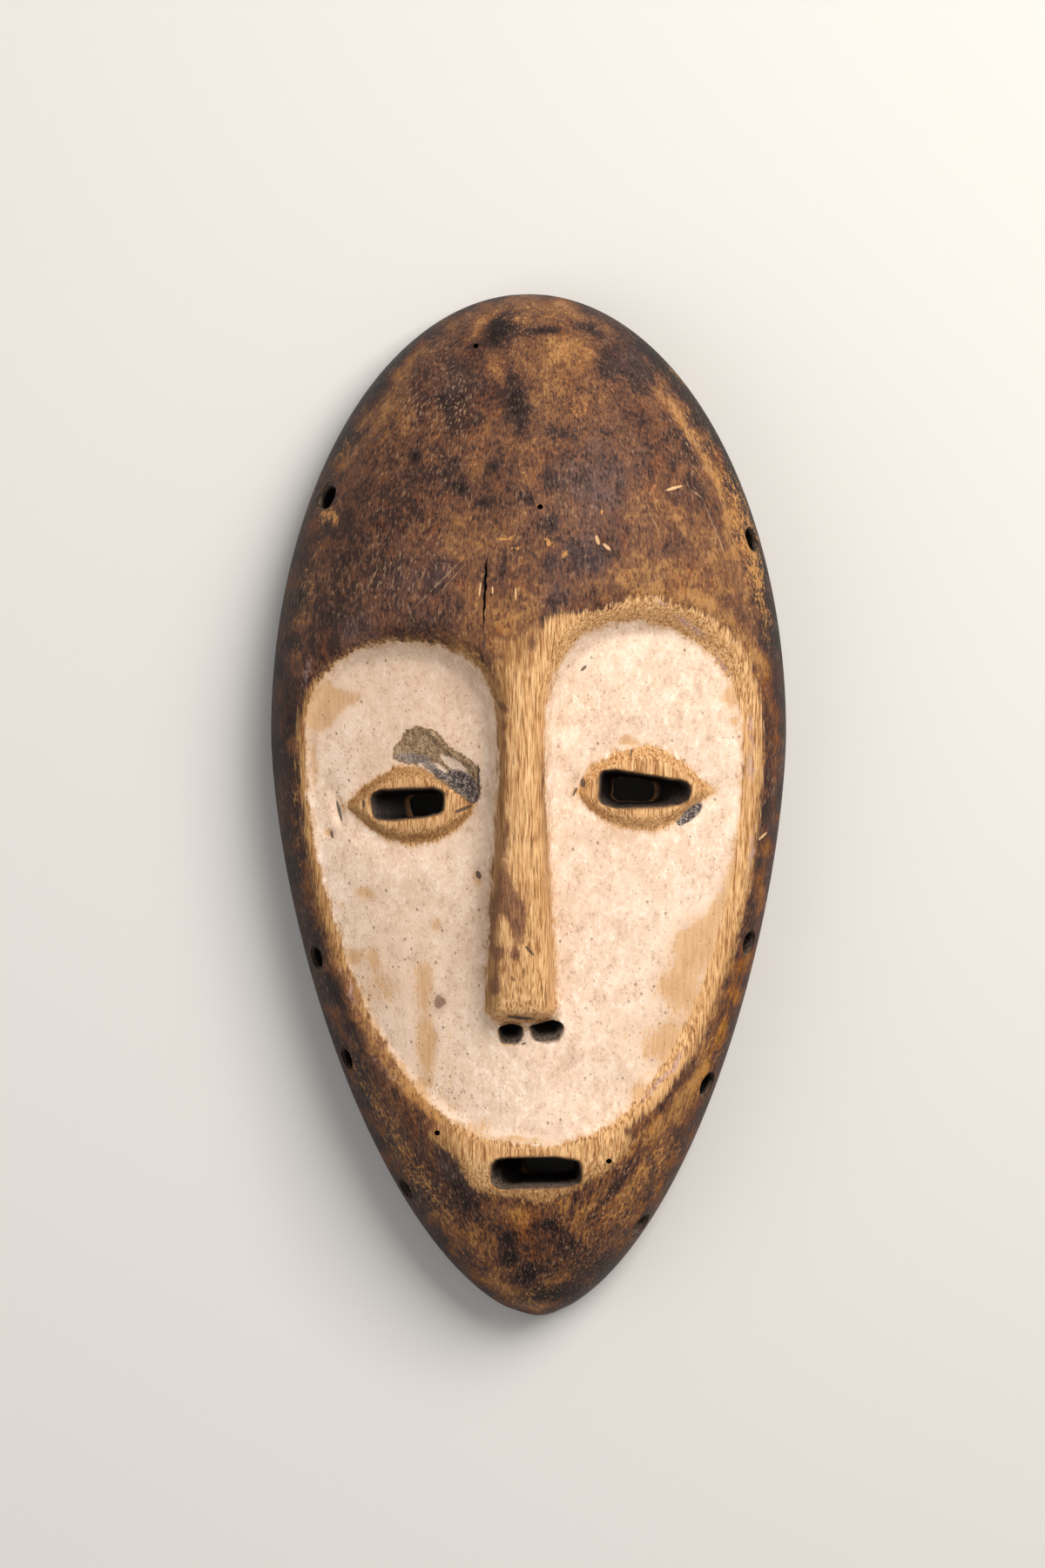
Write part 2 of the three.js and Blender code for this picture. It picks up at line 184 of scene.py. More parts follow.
# The drying crack above the nose, from its upper to its lower end
CRACK_LINE = ((-11.1, 66.0), (-11.5, 60.0), (-11.8, 53.0), (-12.1, 45.5))
CRACK_WIDTH = 0.9
CRACK_DEPTH = 3.5
CRACK_FLARE = 1.3
CRACK_WANDER = 0.12

# Dents and chips: place, half sizes, turn in degrees, depth
DENTS = (
    (-53.7, -7.6, 2, 1.5, 0, 0.9), (-13.6, -19.4, 1.7, 2.8, 0, 1), (-50.8, -2.4, 1, 3.4, 12, 1.2),
    (43.9, -2.4, 4, 1.6, 38, 0.9), (19.2, 69.3, 1.9, 1.3, -35, 1.2), (-1.6, -138.2, 3.2, 1.8, 0, 4.5),
    (9.4, -139, 1.6, 1.4, 0, 2), (-1.4, -64, 1.3, 0.8, 0, 0.8), (66.8, -4, 2.2, 3.5, 0, 1.2),
    (65, -14, 1.6, 2.6, 0, 1), (0.1, -38.4, 2, 0.5, -45, 0.5),
)

# Where the clay broke away above the left eye, and its ridge of bared fibres
LOSS_EDGE = (
    (-36.5, 12), (-36.1, 15), (-32.8, 20.4), (-29.6, 21.5), (-24.9, 20.1), (-20.3, 15.5), (-15.6, 12.2),
    (-13.1, 10.4), (-12.6, 2.9), (-14.5, -0.1), (-17.9, 2.2), (-21.4, 4.6), (-23.8, 6.4), (-27.2, 9.2),
    (-30.7, 10.8),
)
LOSS_DEPTH = 0.8
LOSS_RIDGE = 0.9

# Smooth waves by what they move, as [spacing, seed], and how high the front's own waves are
WAVES = {
    "front": (15, 3), "fine front": (5.5, 4), "break's edge": (1.6, 9), "break's floor": (1.2, 6),
    "hollow": (22, 12), "across": (8, 21), "fine across": (3.2, 22), "along": (8, 23),
    "fine along": (3.2, 24), "sway": (9, 31), "fine sway": (3, 32), "gaps": (6, 33), "rim": (4, 34),
}
FRONT_WAVES = {"front": 0.22, "fine front": 0.1}
SCOOP_SEED = 11

# Bared wood above the nose, and round the mouth
BRIDGE_WOOD = (
    (-8.5, 10), (-9.3, 30), (-9, 38), (-5, 42.5), (-1, 45.5), (3.2, 47.5), (5.6, 50.8), (9.6, 50.7),
    (15, 51.2), (18.9, 50.9), (22.3, 52.8), (27, 55), (32, 55.6), (36, 55), (36, 50), (22, 46), (9, 36),
    (5, 10),
)
MOUTH_WOOD = (
    (-27, -88.5), (-23.3, -91.9), (-19, -95.3), (-16.6, -100.6), (-13.7, -103.5), (-6.9, -104.3),
    (2.3, -106.3), (8.6, -104.5), (14.4, -101.3), (20.2, -98.6), (24.5, -94.6), (28, -89.5), (20, -80),
    (-20, -80),
)

# Paler (+) and darker (-) bands along the face's edge: strength, how far inside it, and width
EDGE_BANDS = {
    "worn jaw": (0.24, -5.0, 2.4), "worn flank": (0.26, -3.5, 1.8), "dark": (-0.42, -2.2, 1.1),
    "low left": (0.34, 2.6, 2.6),
}

# How far the clay stays back from the face's edge and the lids, and where the nose's wood ends
CLAY_MARGIN = 3.0
CLAY_MARGIN_RIGHT = 2.4
CLAY_MARGIN_BROW = 0.9
CLAY_MARGIN_JAW = 1.5
CLAY_MARGIN_NOSE = 1.0
CLAY_LID_GAP = 0.3
LID_WOOD_MARGIN = 0.6
NOSE_WOOD_ENDS = (-59, 44)

# How finely the surfaces are computed, and how their lines crowd towards their ends
LATTICE = 97
GOUGE_LATTICE = 61
GOUGE_JITTER = 0.35
ROWS = 376
ROW_CROWDING = 0.38
NOSE_COLUMNS = 27
SIDE_COLUMNS = 78
SIDE_CROWDING = 0.4
NOSE_BAND = 1.5
BACK_EDGE_STEPS = 5
BACK_BAND_LEVELS = (3.2, 4.6)
HOLLOW_ROWS = 150
HOLLOW_COLUMNS = 96
ARC_STEPS = 44
CORNER_STEPS = 6
CRACK_STEPS = 40
RING_POINTS = 56
DRILL_POINTS = 28
SHARP_ANGLE = 48.0
SLIVER = 0.02

# Patches of the patina: place, half sizes, turn in degrees, and how light (+) or dark (-)
BROAD_TONES = (
    (9, 117.5, 12, 10.5, 0, 0.3), (10, 134, 14, 3.4, -8, 0.24), (26, 119, 8.5, 8, -35, -0.4),
    (-20.5, 110, 8, 11, -25, -0.26), (-31, 104, 3.5, 9, -30, 0.2), (-13.5, 96, 4.5, 8.5, 0, 0.16),
    (-14, 120, 6, 6, -30, -0.1), (-32, 88, 11, 5, 0, -0.1), (-14, 83, 10, 5, 0, -0.1),
    (-42, 72, 10, 12, 0, -0.14), (-52, 50, 5, 11, 0, -0.2), (-33, 60.5, 8, 3, 0, -0.12),
    (-31, 47.3, 5, 2, 0, -0.2), (-20, 48.2, 3, 2.6, 0, -0.14), (-17, 68, 6, 6, 20, 0.1),
    (-18, 42, 5, 5, 0, 0.2), (33, 94, 7, 9, 0, -0.16), (18.7, 84, 9, 12, 0, -0.14),
    (30, 80, 4, 6, 20, 0.12), (37, 67, 4, 5, 30, -0.2), (50, 62, 4, 7, 20, 0.14), (1, 92, 5, 17, 0, 0.12),
    (-4, 50, 8, 7, 0, 0.3), (-11, 55, 4, 7, 0, 0.14), (28, 61, 8, 1.6, 10, 0.2),
    (17.4, 55.5, 8, 3, 5, -0.08), (32, 60, 12, 8, 0, 0.16), (5, -120, 7, 7, 0, -0.16),
    (-20.3, -99, 6, 6, -40, -0.24), (-26.5, -107, 5, 10, 25, -0.12), (22, -109, 9, 6, 40, 0.08),
    (-13, -116, 3, 8, 20, 0.14), (0, -108.5, 12, 2.5, 0, 0.16),
)
SMALL_TONES = (
    (8.4, 123, 4.5, 2.4, 0, 0.12), (-11, 130.5, 1.8, 6.5, -35, 0.4), (-7.3, 128.8, 3.4, 5.5, -10, -0.6),
    (-3.4, 108.6, 3.2, 9.5, 12, -0.5), (4, 127.4, 4.8, 1.2, 0, -0.55), (16, 128.8, 6, 2.2, -15, -0.35),
    (-8, 117, 2.6, 5, 10, 0.26), (6.7, 98.4, 2.2, 2, 0, -0.35), (6.2, 86.4, 2.6, 1.8, 0, -0.3),
    (-0.1, 82, 2.2, 1.6, 0, -0.4), (-18.1, 84.1, 4, 1.5, -5, -0.4), (-10.8, 80.7, 2, 1.5, 0, -0.4),
    (-9.8, 89.9, 2, 1.5, 0, -0.35), (-20, 90.5, 1.9, 1.4, 0, -0.35), (-23.9, 87.5, 1.9, 1.4, 0, -0.35),
    (-31.3, 93.6, 1.7, 1.6, 0, -0.45), (5.7, 75.4, 3, 2.2, 0, -0.34), (11.6, 69.1, 2.4, 1.7, 0, -0.26),
    (6, 65, 1.9, 1.5, 0, -0.3), (15, 65.7, 5.4, 3.4, 0, -0.24), (-7.4, 63.3, 1.4, 3.4, 0, -0.4),
    (6.6, 55.5, 3.2, 4.6, 0, -0.1), (3.8, 48.6, 2, 1.4, 0, -0.3), (-34, 117, 1.6, 12, -33, 0.24),
    (-39.5, 105, 1.4, 9, -30, 0.22), (-52, 88, 1.6, 6, -25, 0.2), (38.5, 106, 1.3, 12, 40, 0.36),
    (47, 93, 1.4, 10, 28, 0.38), (53.5, 77, 1.5, 11, 16, 0.36), (39, 77, 1.5, 9, 35, 0.24),
    (27, 87, 1.6, 8, 0, 0.14), (42, 98, 2.6, 7, 30, -0.22), (44.5, 110, 2.6, 14, 38, -0.45),
    (57, 90, 2.2, 13, 22, -0.4), (62.5, 66, 1.6, 14, 10, -0.3), (45, 82, 2.6, 6, 25, -0.26),
    (-4.9, -117, 2.3, 2.8, 0, -0.6), (-4.6, -122.6, 2, 2.2, 0, -0.6), (-0.2, -126.7, 3.6, 2.6, 30, -0.65),
    (5.8, -111.6, 2.2, 2, 0, -0.5), (6.5, -132.2, 7.5, 2.4, 12, -0.55), (17.5, -125, 7.5, 2.2, 30, -0.45),
    (10, -117, 2, 4, 30, -0.34), (-16.5, -107, 2.4, 7, 40, -0.34), (-1.7, -111, 3, 4, 0, 0.3),
    (-7, -131, 6, 2.4, -25, 0.4), (3, -136.5, 5, 1.6, 10, 0.3), (9, -128, 6, 1.4, 15, 0.26),
    (22, -103, 1.6, 8, -35, -0.4), (28, -100, 1.4, 8, -35, 0.26), (16, -107, 1.4, 7, -40, 0.22),
)

# Where pale dust lies in the pores
DUST_PATCHES = (
    (-25, 108, 10, 13, 0, 1), (8, 130, 12, 4, 0, 0.7), (-32, 64, 11, 13, 0, 0.8), (31, 80, 4, 6, 0, 1),
    (44, 96, 7, 14, 30, 0.8), (24, -108, 12, 16, -35, 0.9), (-24, -105, 9, 14, 35, 0.5),
    (2, -126, 8, 8, 0, 0.5),
)

# Where the worn wood shows in small golden spots
GILT_PATCHES = (
    (-6.7, 71.5, 2.9, 0.9, 0, 1.1), (-4, 68.4, 2, 0.8, 0, 1.1), (-2, 65.4, 0.8, 0.7, 0, 1.1),
    (4.7, 69.9, 2.3, 1.5, -40, 1.1), (10, 71.6, 2.8, 0.5, -8, 0.9), (9.9, 66.3, 0.9, 1.8, 0, 1),
    (19.6, 76.8, 0.6, 0.9, 0, 1.3), (-12.5, 62, 1.6, 8, 0, 0.55), (-9.4, 60, 0.9, 6, 0, 0.6),
    (-53, 78, 5, 3, 0, 0.75), (-50, 95, 3, 13, -25, 0.6), (-59, 60, 3, 16, -10, 0.6),
    (47, 98, 6, 22, 32, 0.55), (57, 74, 4, 16, 14, 0.6), (60.5, 20, 3.5, 40, 0, 0.66),
    (63, 58, 2.4, 22, 8, 0.5), (42, 116, 2, 12, 44, 0.5), (-62, 5, 2.5, 40, 0, 0.6),
    (48, -70, 6, 28, -28, 0.55), (26, -106, 7, 22, -38, 0.6), (-44, -75, 4, 30, 30, 0.6),
    (-26, -105, 5, 20, 38, 0.5), (0, -134, 14, 5, 0, 0.6), (0, 132, 20, 5, 0, 0.5),
    (12, 106, 9, 9, 0, 0.55), (-2, 94, 6, 12, 0, 0.5),
)
# Where a purple-grey sheen lies on the patina: a painted reflection of the light, partly a real waxy film,
# with lower roughness there as well.
SHEEN_AND_BLOOM_PATCHES = (
    (18.7, 84.3, 7, 11, 0, 0.8), (27, 120, 5, 6, -30, 0.4), (-28, 60, 11, 9, 0, 0.55),
    (14, 67, 6, 5, 0, 0.5), (-19, 113, 5, 6, 0, 0.4), (-20, -97.5, 5, 4, -30, 0.7),
    (-45, 46, 6, 7, 20, 0.7), (7, 57, 3, 5, 0, 0.4), (-8, -107, 4, 3, 0, 0.35),
)

# Where a purple-grey highlight is painted along the face's sharp edge, on wood that is polished there, and
# where that edge is dark red-brown
ARRIS_HIGHLIGHT_PATCHES = (
    (34.6, 54.6, 5, 0.8, -41, 0.8), (43.6, 47.4, 5.5, 0.9, -38, 0.9), (52, 38, 4.5, 0.9, -55, 0.8),
    (59.5, 16, 1, 14, 0, 0.8), (60, -14, 1, 9, -3, 0.75), (36, -73, 1.1, 11, -42, 0.9),
    (-47.5, -50, 1, 10, 27, 0.6), (-60.5, 36, 1, 9, -12, 0.6), (-38, -71, 1.2, 7, 35, 0.5),
)
STREAK_PATCHES = (
    (54, -40, 8, 16, -15, 0.6), (36, -80, 8, 14, -45, 0.6), (62, 10, 6, 30, 0, 0.5),
    (-50, -50, 8, 20, 25, 0.8),
)

# Dark stains on the bared wood of the nose and the bridge, and where that wood has browned. The browning is
# partly painted shade, along the nose's left flank and round the left eye, which is browned more than the
# right.
STAIN_PATCHES = (
    (0.4, 42.9, 1.7, 2.9, 0, 0.9), (4.2, 48.6, 2, 1.4, 0, 0.5), (-7.6, 39.6, 1.6, 1.7, 20, 0.9),
    (-8.4, 44.4, 2.4, 2, 0, 0.5), (-7.2, 26.4, 1.2, 2.9, 42, 1.1), (-6.6, 21, 1.1, 1.5, 0, 0.9),
    (-6.3, 16.2, 0.8, 2.4, 0, 0.9), (-4.6, 11.5, 0.6, 1.6, 0, 0.7), (-6, -8, 1.2, 7.5, 0, 0.85),
    (-6.5, -19.5, 2.6, 6, 0, 0.8), (-5.8, -26.5, 4.8, 5.5, 0, 1), (-2.9, -32.5, 2.1, 5.2, 0, 0.95),
    (-9.7, -33.5, 1.5, 6.5, 0, 0.95), (-6.9, -32.2, 1.3, 3.4, 0, -0.5), (-7.6, -38.9, 1.7, 2, 0, 1),
    (-3.5, -39.4, 1.6, 2, 0, 1.05), (-8.5, -44.6, 1, 4.5, 0, 0.85), (-8.8, -48.5, 1.7, 2.2, 0, 1.15),
    (-4.4, -45.9, 0.9, 0.8, 0, 0.95), (-8.1, -53, 0.8, 1, 0, 0.8), (2.2, -6.6, 0.5, 2.8, 0, 0.62),
    (4, -19, 0.5, 3.4, 0, 0.62), (6.8, -34, 0.6, 8, 0, 0.62), (7.2, -47, 0.5, 5, 0, 0.6),
    # The stain across the nose's lower end is partly a painted shadow under it.
    (-11, -29, 0.7, 6, 0, 0.8), (-2.2, -56.1, 4.6, 0.7, -5, 1.2), (-15, 52, 2, 3, 20, 0.4),
)
BROWN_AND_SHADE_PATCHES = (
    (-9, 20, 2.4, 26, 0, 0.95), (-8.8, -12, 2.6, 22, 0, 0.95), (-10.6, -48, 1.6, 8, 0, 0.95),
    (-5, 44, 7.5, 6, 0, 0.8), (-10.5, 36, 4, 8, 20, 0.6), (-4, -43, 6, 12, 0, 0.34),
    (-2, 22, 8, 30, 0, 0.32), (7, 44, 2, 5, -30, 0.3), (-32, 0, 18, 11, 0, 0.6), (31, 4, 19, 12, 0, 0.4),
    (55, -48, 7, 12, -15, 0.4), (57, 10, 5, 40, 0, 0.3), (-24, -88, 6, 4, 0, 0.6),
    (2, -98, 26, 11, 0, 0.42), (-2, -104, 12, 1.8, 0, 0.5),
)

# Where the clay has worn to a tan film, and where its pits lie thickest
WEAR_PATCHES = (
    (-55.5, 26, 6, 6.5, 0, 1.3), (-49, 29, 5.5, 2.6, 10, 1), (-58, 12, 1.8, 9, 0, 0.9),
    (-27.4, -64, 3, 9.5, 0, 1.25), (-27.6, -47, 3.2, 6.5, 0, 0.8), (-43.6, -23.8, 2.4, 2.3, 0, 0.95),
    (-25.1, -31.9, 2.3, 2.2, 0, 0.85), (-46.8, -40.5, 2.6, 2.4, 0, 0.95), (-41.5, -41, 1.6, 3.2, 0, 0.7),
    (-50.3, -27, 1.4, 1.4, 0, 0.8), (-38.6, -66.5, 1.7, 3.6, 20, 1.2), (-35.6, -71.5, 2.2, 2.8, 0, 1.2),
    (-32, -75.5, 3.4, 2.6, 0, 0.8), (-39, -49, 6, 5, 0, 0.42), (44.5, -38, 5.5, 8.5, -15, 1.15),
    (40.5, -50, 6.5, 5, -35, 1), (51.5, -30, 3.5, 14, -10, 1.1), (37, -64, 5.5, 7.5, -35, 1.1),
    (26, -60, 7, 5, 0, 0.42), (30, -78, 5, 5, -40, 0.9), (54.7, 29.1, 2.6, 3.2, 15, 1.1),
    (55.3, 22.8, 1.9, 1.9, 0, 1), (57.9, 15.9, 1.9, 4.8, 0, 1.1), (57, -5.5, 1.8, 4, 0, 1),
    (56.5, -17, 2.4, 7, 0, 0.9), (-3, -89.8, 9, 1.6, 0, 0.9), (-14, -87, 6, 3, 20, 0.8),
    (10.8, 10.8, 0.8, 1.4, 0, 0.9), (39.6, 22.5, 1.3, 0.9, 0, 0.8), (-53.4, -7.6, 1.8, 1.6, 0, 1.1),
    (-13.7, -19.2, 1.5, 2.6, 0, 1.2), (-40, -46, 13, 27, -15, 0.42), (-30.5, -80.5, 7, 3.4, -38, 0.9),
    (-43, -62, 2.6, 9, 27, 0.8), (-30, -78, 12, 8, -30, 0.3), (38, -48, 12, 26, 20, 0.22),
    (-48, 33, 12, 7, 20, 0.2), (15.2, 5, 2, 6, 0, 0.7), (27, 17.2, 3, 1.4, 0, 0.9),
)
PIT_PATCHES = (
    (-22, -68, 5, 14, 0, 0.9), (-20, -80, 6, 6, 0, 0.7), (-44, -50, 9, 18, 0, 0.6),
    (-18, -35, 7, 16, 0, 0.5), (14, 36, 6, 7, 40, 0.7), (20, -60, 16, 20, 0, 0.2),
    (-52, 10, 4, 8, 0, 0.4),
)
# Darker patches on the clay, mostly painted shade: over the left half of the face, under the left brow, under
# the lids, beside the nose's left flank and above the mouth. A few small ones are dirt spots, and the
# strongest turn to dark pits.
DIRT_AND_SHADE_PATCHES = (
    (6, -87.4, 5.5, 2.3, 0, 0.9), (11.6, -67.7, 2.4, 2.6, 0, 1), (24, -71.2, 3, 2.2, 0, 0.7),
    (-46, 38.5, 10, 2.5, 35, 0.4), (24, -8.6, 10, 2.6, 4, 0.85), (17, -7, 3, 3, 0, 0.4),
    (-21, -12, 5, 2, 40, 0.4), (-23.3, -52.8, 2.3, 2.4, 0, 1.5), (-18.5, -38, 5, 12, 0, 0.5),
    (-30, 30, 16, 8, 10, 0.25), (-4.5, -65, 3, 1.6, 0, 0.6), (-36, 22, 22, 26, 0, 0.62),
    (-34, -40, 24, 40, 0, 0.34), (-12.5, -25, 2.6, 34, 0, 0.34),
)

# Marks drawn by the finish itself, finer than the mesh: place, half sizes, turn in degrees
# The dark marks are partly dirt and partly painted shade: the dark in small dents and cracks that the mesh
# carves only shallowly, and the shadow line under the nose's end.
DARK_AND_SHADOW_MARKS = (
    (-51, -1.6, 0.45, 3.2, 14), (-53, -7.9, 0.4, 1.2, 12), (-13.4, 7, 0.28, 4.6, 2),
    (-40.8, 0.6, 1.6, 0.35, 5), (-17.5, -1, 2.6, 0.5, 22), (-44.3, 0.4, 0.4, 1.2, 0),
    (19.5, 68.2, 1.1, 0.5, -40), (-11.9, 42.6, 0.3, 2, 0), (0.2, -38.4, 1.9, 0.35, -48),
    (-2.2, -56.3, 4.4, 0.45, -5), (-1.4, -63.6, 0.7, 0.3, 20), (-13.4, -18.6, 0.7, 1.2, 20),
    (14.6, 36.5, 1.1, 0.4, 45), (14.4, 6, 0.7, 1.3, 0), (12.3, 3.6, 0.3, 1.3, -25),
    (27.3, 14, 0.25, 1.1, -10),
)
LIGHT_MARKS = (
    (38.8, 84.8, 2.6, 0.45, 18), (18.2, 70.4, 0.55, 1.4, 18), (20.7, 68.6, 0.5, 1.4, 48),
    (-12.9, 57.2, 0.22, 2.2, -8), (-9.6, 57, 0.22, 1.1, 0), (-3.5, 56, 0.25, 1.9, 0),
    (5.6, 48, 0.3, 2.2, -4), (22.8, -94.6, 0.4, 0.9, 0), (19.9, -95.3, 0.35, 0.8, 0),
    (63.3, -8.4, 0.35, 1.8, -50), (-7.8, -61.6, 0.4, 1.9, 20), (-5.6, -63.9, 2.2, 0.35, -8),
    (3.6, -60.4, 0.35, 0.45, 0), (5.4, -61.6, 0.4, 0.35, 30), (6.6, -59.4, 0.3, 0.5, 0),
)
SCRATCHES = (
    (49.6, 75, 0.22, 7.2, 23), (45.1, 83.4, 0.25, 2.2, 52), (-23.9, 58.9, 0.16, 9.4, -45),
    (-20, 60.4, 0.14, 5, -43), (33, 76, 0.16, 4, 30), (-42, 60, 0.16, 5, -30),
)

# Chips, and what lies in the break above the left eye, in the same way
CHIPS = ((43.6, -2.2, 4.4, 1.7, 42), (40.8, -4.6, 1.2, 1, 0))
FLAKES = ((-25.4, 9.6, 4.8, 1.9, -18), (-20, 11, 4.2, 1.5, -32))
SMEARS = ((-31, 12.6, 5.4, 1.5, -6), (-26.5, 10.6, 2.6, 1.4, -35))
SOOT_MARKS = ((-18, 6, 5.6, 3.4, -34), (-15, 2.6, 2, 3.2, 10), (-23.8, 8.3, 2.6, 1.3, -30))

# How much the whole surface mirrors
SPECULAR = 0.13

# The stage, in metres
LIGHTS = {
    "key": {"place": (0.58, 0.6, 1.0), "size": 0.8, "colour": (1.0, 0.955, 0.91)},
    "fill": {"place": (-0.9, -0.25, 0.85), "size": 0.9, "colour": (0.94, 0.96, 1.0)},
}
SKY_COLOUR = (1.0, 0.98, 0.96)
CAMERA_PLACE = (-0.00167, 0.00572)
SENSOR_HEIGHT = 36.0
FLOOR_HALF_WIDTH = 6.0
FLOOR_DROP = 0.0004
FLOOR_ROUGHNESS = 0.9


def srgb(*steps):
    """A colour given in the usual 0 to 255 steps, as the linear numbers that a shader takes."""
    shares = (step / 255 for step in steps)
    return tuple(((share + 0.055) / 1.055) ** 2.4 if share > 0.04 else share / 12.92 for share in shares)


def s_curve(value, low, high):
    """0 below low, 1 above high, and 3t^2 - 2t^3 of the way t between them."""
    t = np.clip((value - low) / (high - low), 0, 1)
    return t * t * (3 - 2 * t)


def bell(value, middle, width):
    """exp(-t^2), with t the distance from the middle in widths."""
    return np.exp(-(((value - middle) / width) ** 2))


def wander(x, y, name):
    """Smooth waves between -1 and 1 over the plane: random heights at the corners of a square
    lattice, blended along both ways by the curve 6t^5 - 15t^4 + 10t^3."""
    spacing, seed = WAVES[name]
    heights = np.random.default_rng(seed).uniform(-1, 1, (LATTICE, LATTICE))
    u, v = x / spacing + LATTICE // 2, y / spacing + LATTICE // 2
    i, j = np.floor(u).astype(int), np.floor(v).astype(int)
    s, t = (w * w * w * (w * (w * 6 - 15) + 10) for w in (u - i, v - j))
    left, right = i % LATTICE, (i + 1) % LATTICE
    low, high = j % LATTICE, (j + 1) % LATTICE
    near = heights[left, low] * (1 - s) + heights[right, low] * s
    far = heights[left, high] * (1 - s) + heights[right, high] * s
    return near * (1 - t) + far * t


def gouge_marks(x, y, wide, long, seed):
    """Overlapping scoops of a gouge, 0 at their ridges and up to 1 in their middles: each scoop is
    a paraboloid round a jittered point of a lattice, and the deepest of the nine around counts."""
    size = GOUGE_LATTICE
    jitter = np.random.default_rng(seed).uniform(-GOUGE_JITTER, GOUGE_JITTER, (2, size, size))
    u, v = x / wide + size // 2, y / long + size // 2
    i, j = np.floor(u).astype(int), np.floor(v).astype(int)
    deepest = np.zeros(x.shape)
    for a in (-1, 0, 1):
        for b in (-1, 0, 1):
            du = u - (i + a) - 0.5 - jitter[0, (i + a) % size, (j + b) % size]
            dv = v - (j + b) - 0.5 - jitter[1, (i + a) % size, (j + b) % size]
            deepest = np.maximum(deepest, 1 - du * du - dv * dv)
    return deepest


def unsettled(x, y, much):
    """Places moved by smooth waves of two sizes, so that what is laid there has uneven outlines."""
    dx = wander(x, y, "across") + 0.6 * wander(x, y, "fine across")
    dy = wander(x, y, "along") + 0.6 * wander(x, y, "fine along")
    return x + much * dx, y + much * dy


def patches(x, y, listed):
    """The sum of soft ellipses, each its strength times exp(-r^2), with r 1 on the ellipse."""
    total = np.zeros(x.shape)
    for px, py, half_x, half_y, turn, strength in listed:
        c, s = math.cos(math.radians(turn)), math.sin(math.radians(turn))
        u = ((x - px) * c + (y - py) * s) / half_x
        v = ((y - py) * c - (x - px) * s) / half_y
        total += strength * np.exp(-(u * u + v * v))
    return total


def depth_inside(outline, x, y):
    """How far each place lies inside a closed outline, negative outside: the smallest distance to
    its sides, signed by how often a ray to the right crosses them. The second result is the
    outline's own third number at the nearest point."""
    nearest = np.full(x.shape, np.inf)
    carried = np.zeros(x.shape)
    inside = np.zeros(x.shape, bool)
    for a, b in zip(outline, np.roll(outline, -1, axis=0)):
        ex, ey = b[0] - a[0], b[1] - a[1]
        along = np.clip(((x - a[0]) * ex + (y - a[1]) * ey) / max(ex * ex + ey * ey, 1e-12), 0, 1)
        gap = np.hypot(x - a[0] - along * ex, y - a[1] - along * ey)
        closer = gap < nearest
        nearest = np.where(closer, gap, nearest)
        carried = np.where(closer, a[2] + (b[2] - a[2]) * along, carried)
        if ey:
            inside ^= ((a[1] > y) != (b[1] > y)) & (x < a[0] + (y - a[1]) * ex / ey)
    return np.where(inside, nearest, -nearest), carried


def depth_within(places, x, y):
    """How far each place lies inside a closed line through the listed places."""
    return depth_inside(np.array([(*place, 0) for place in places]), x, y)[0]


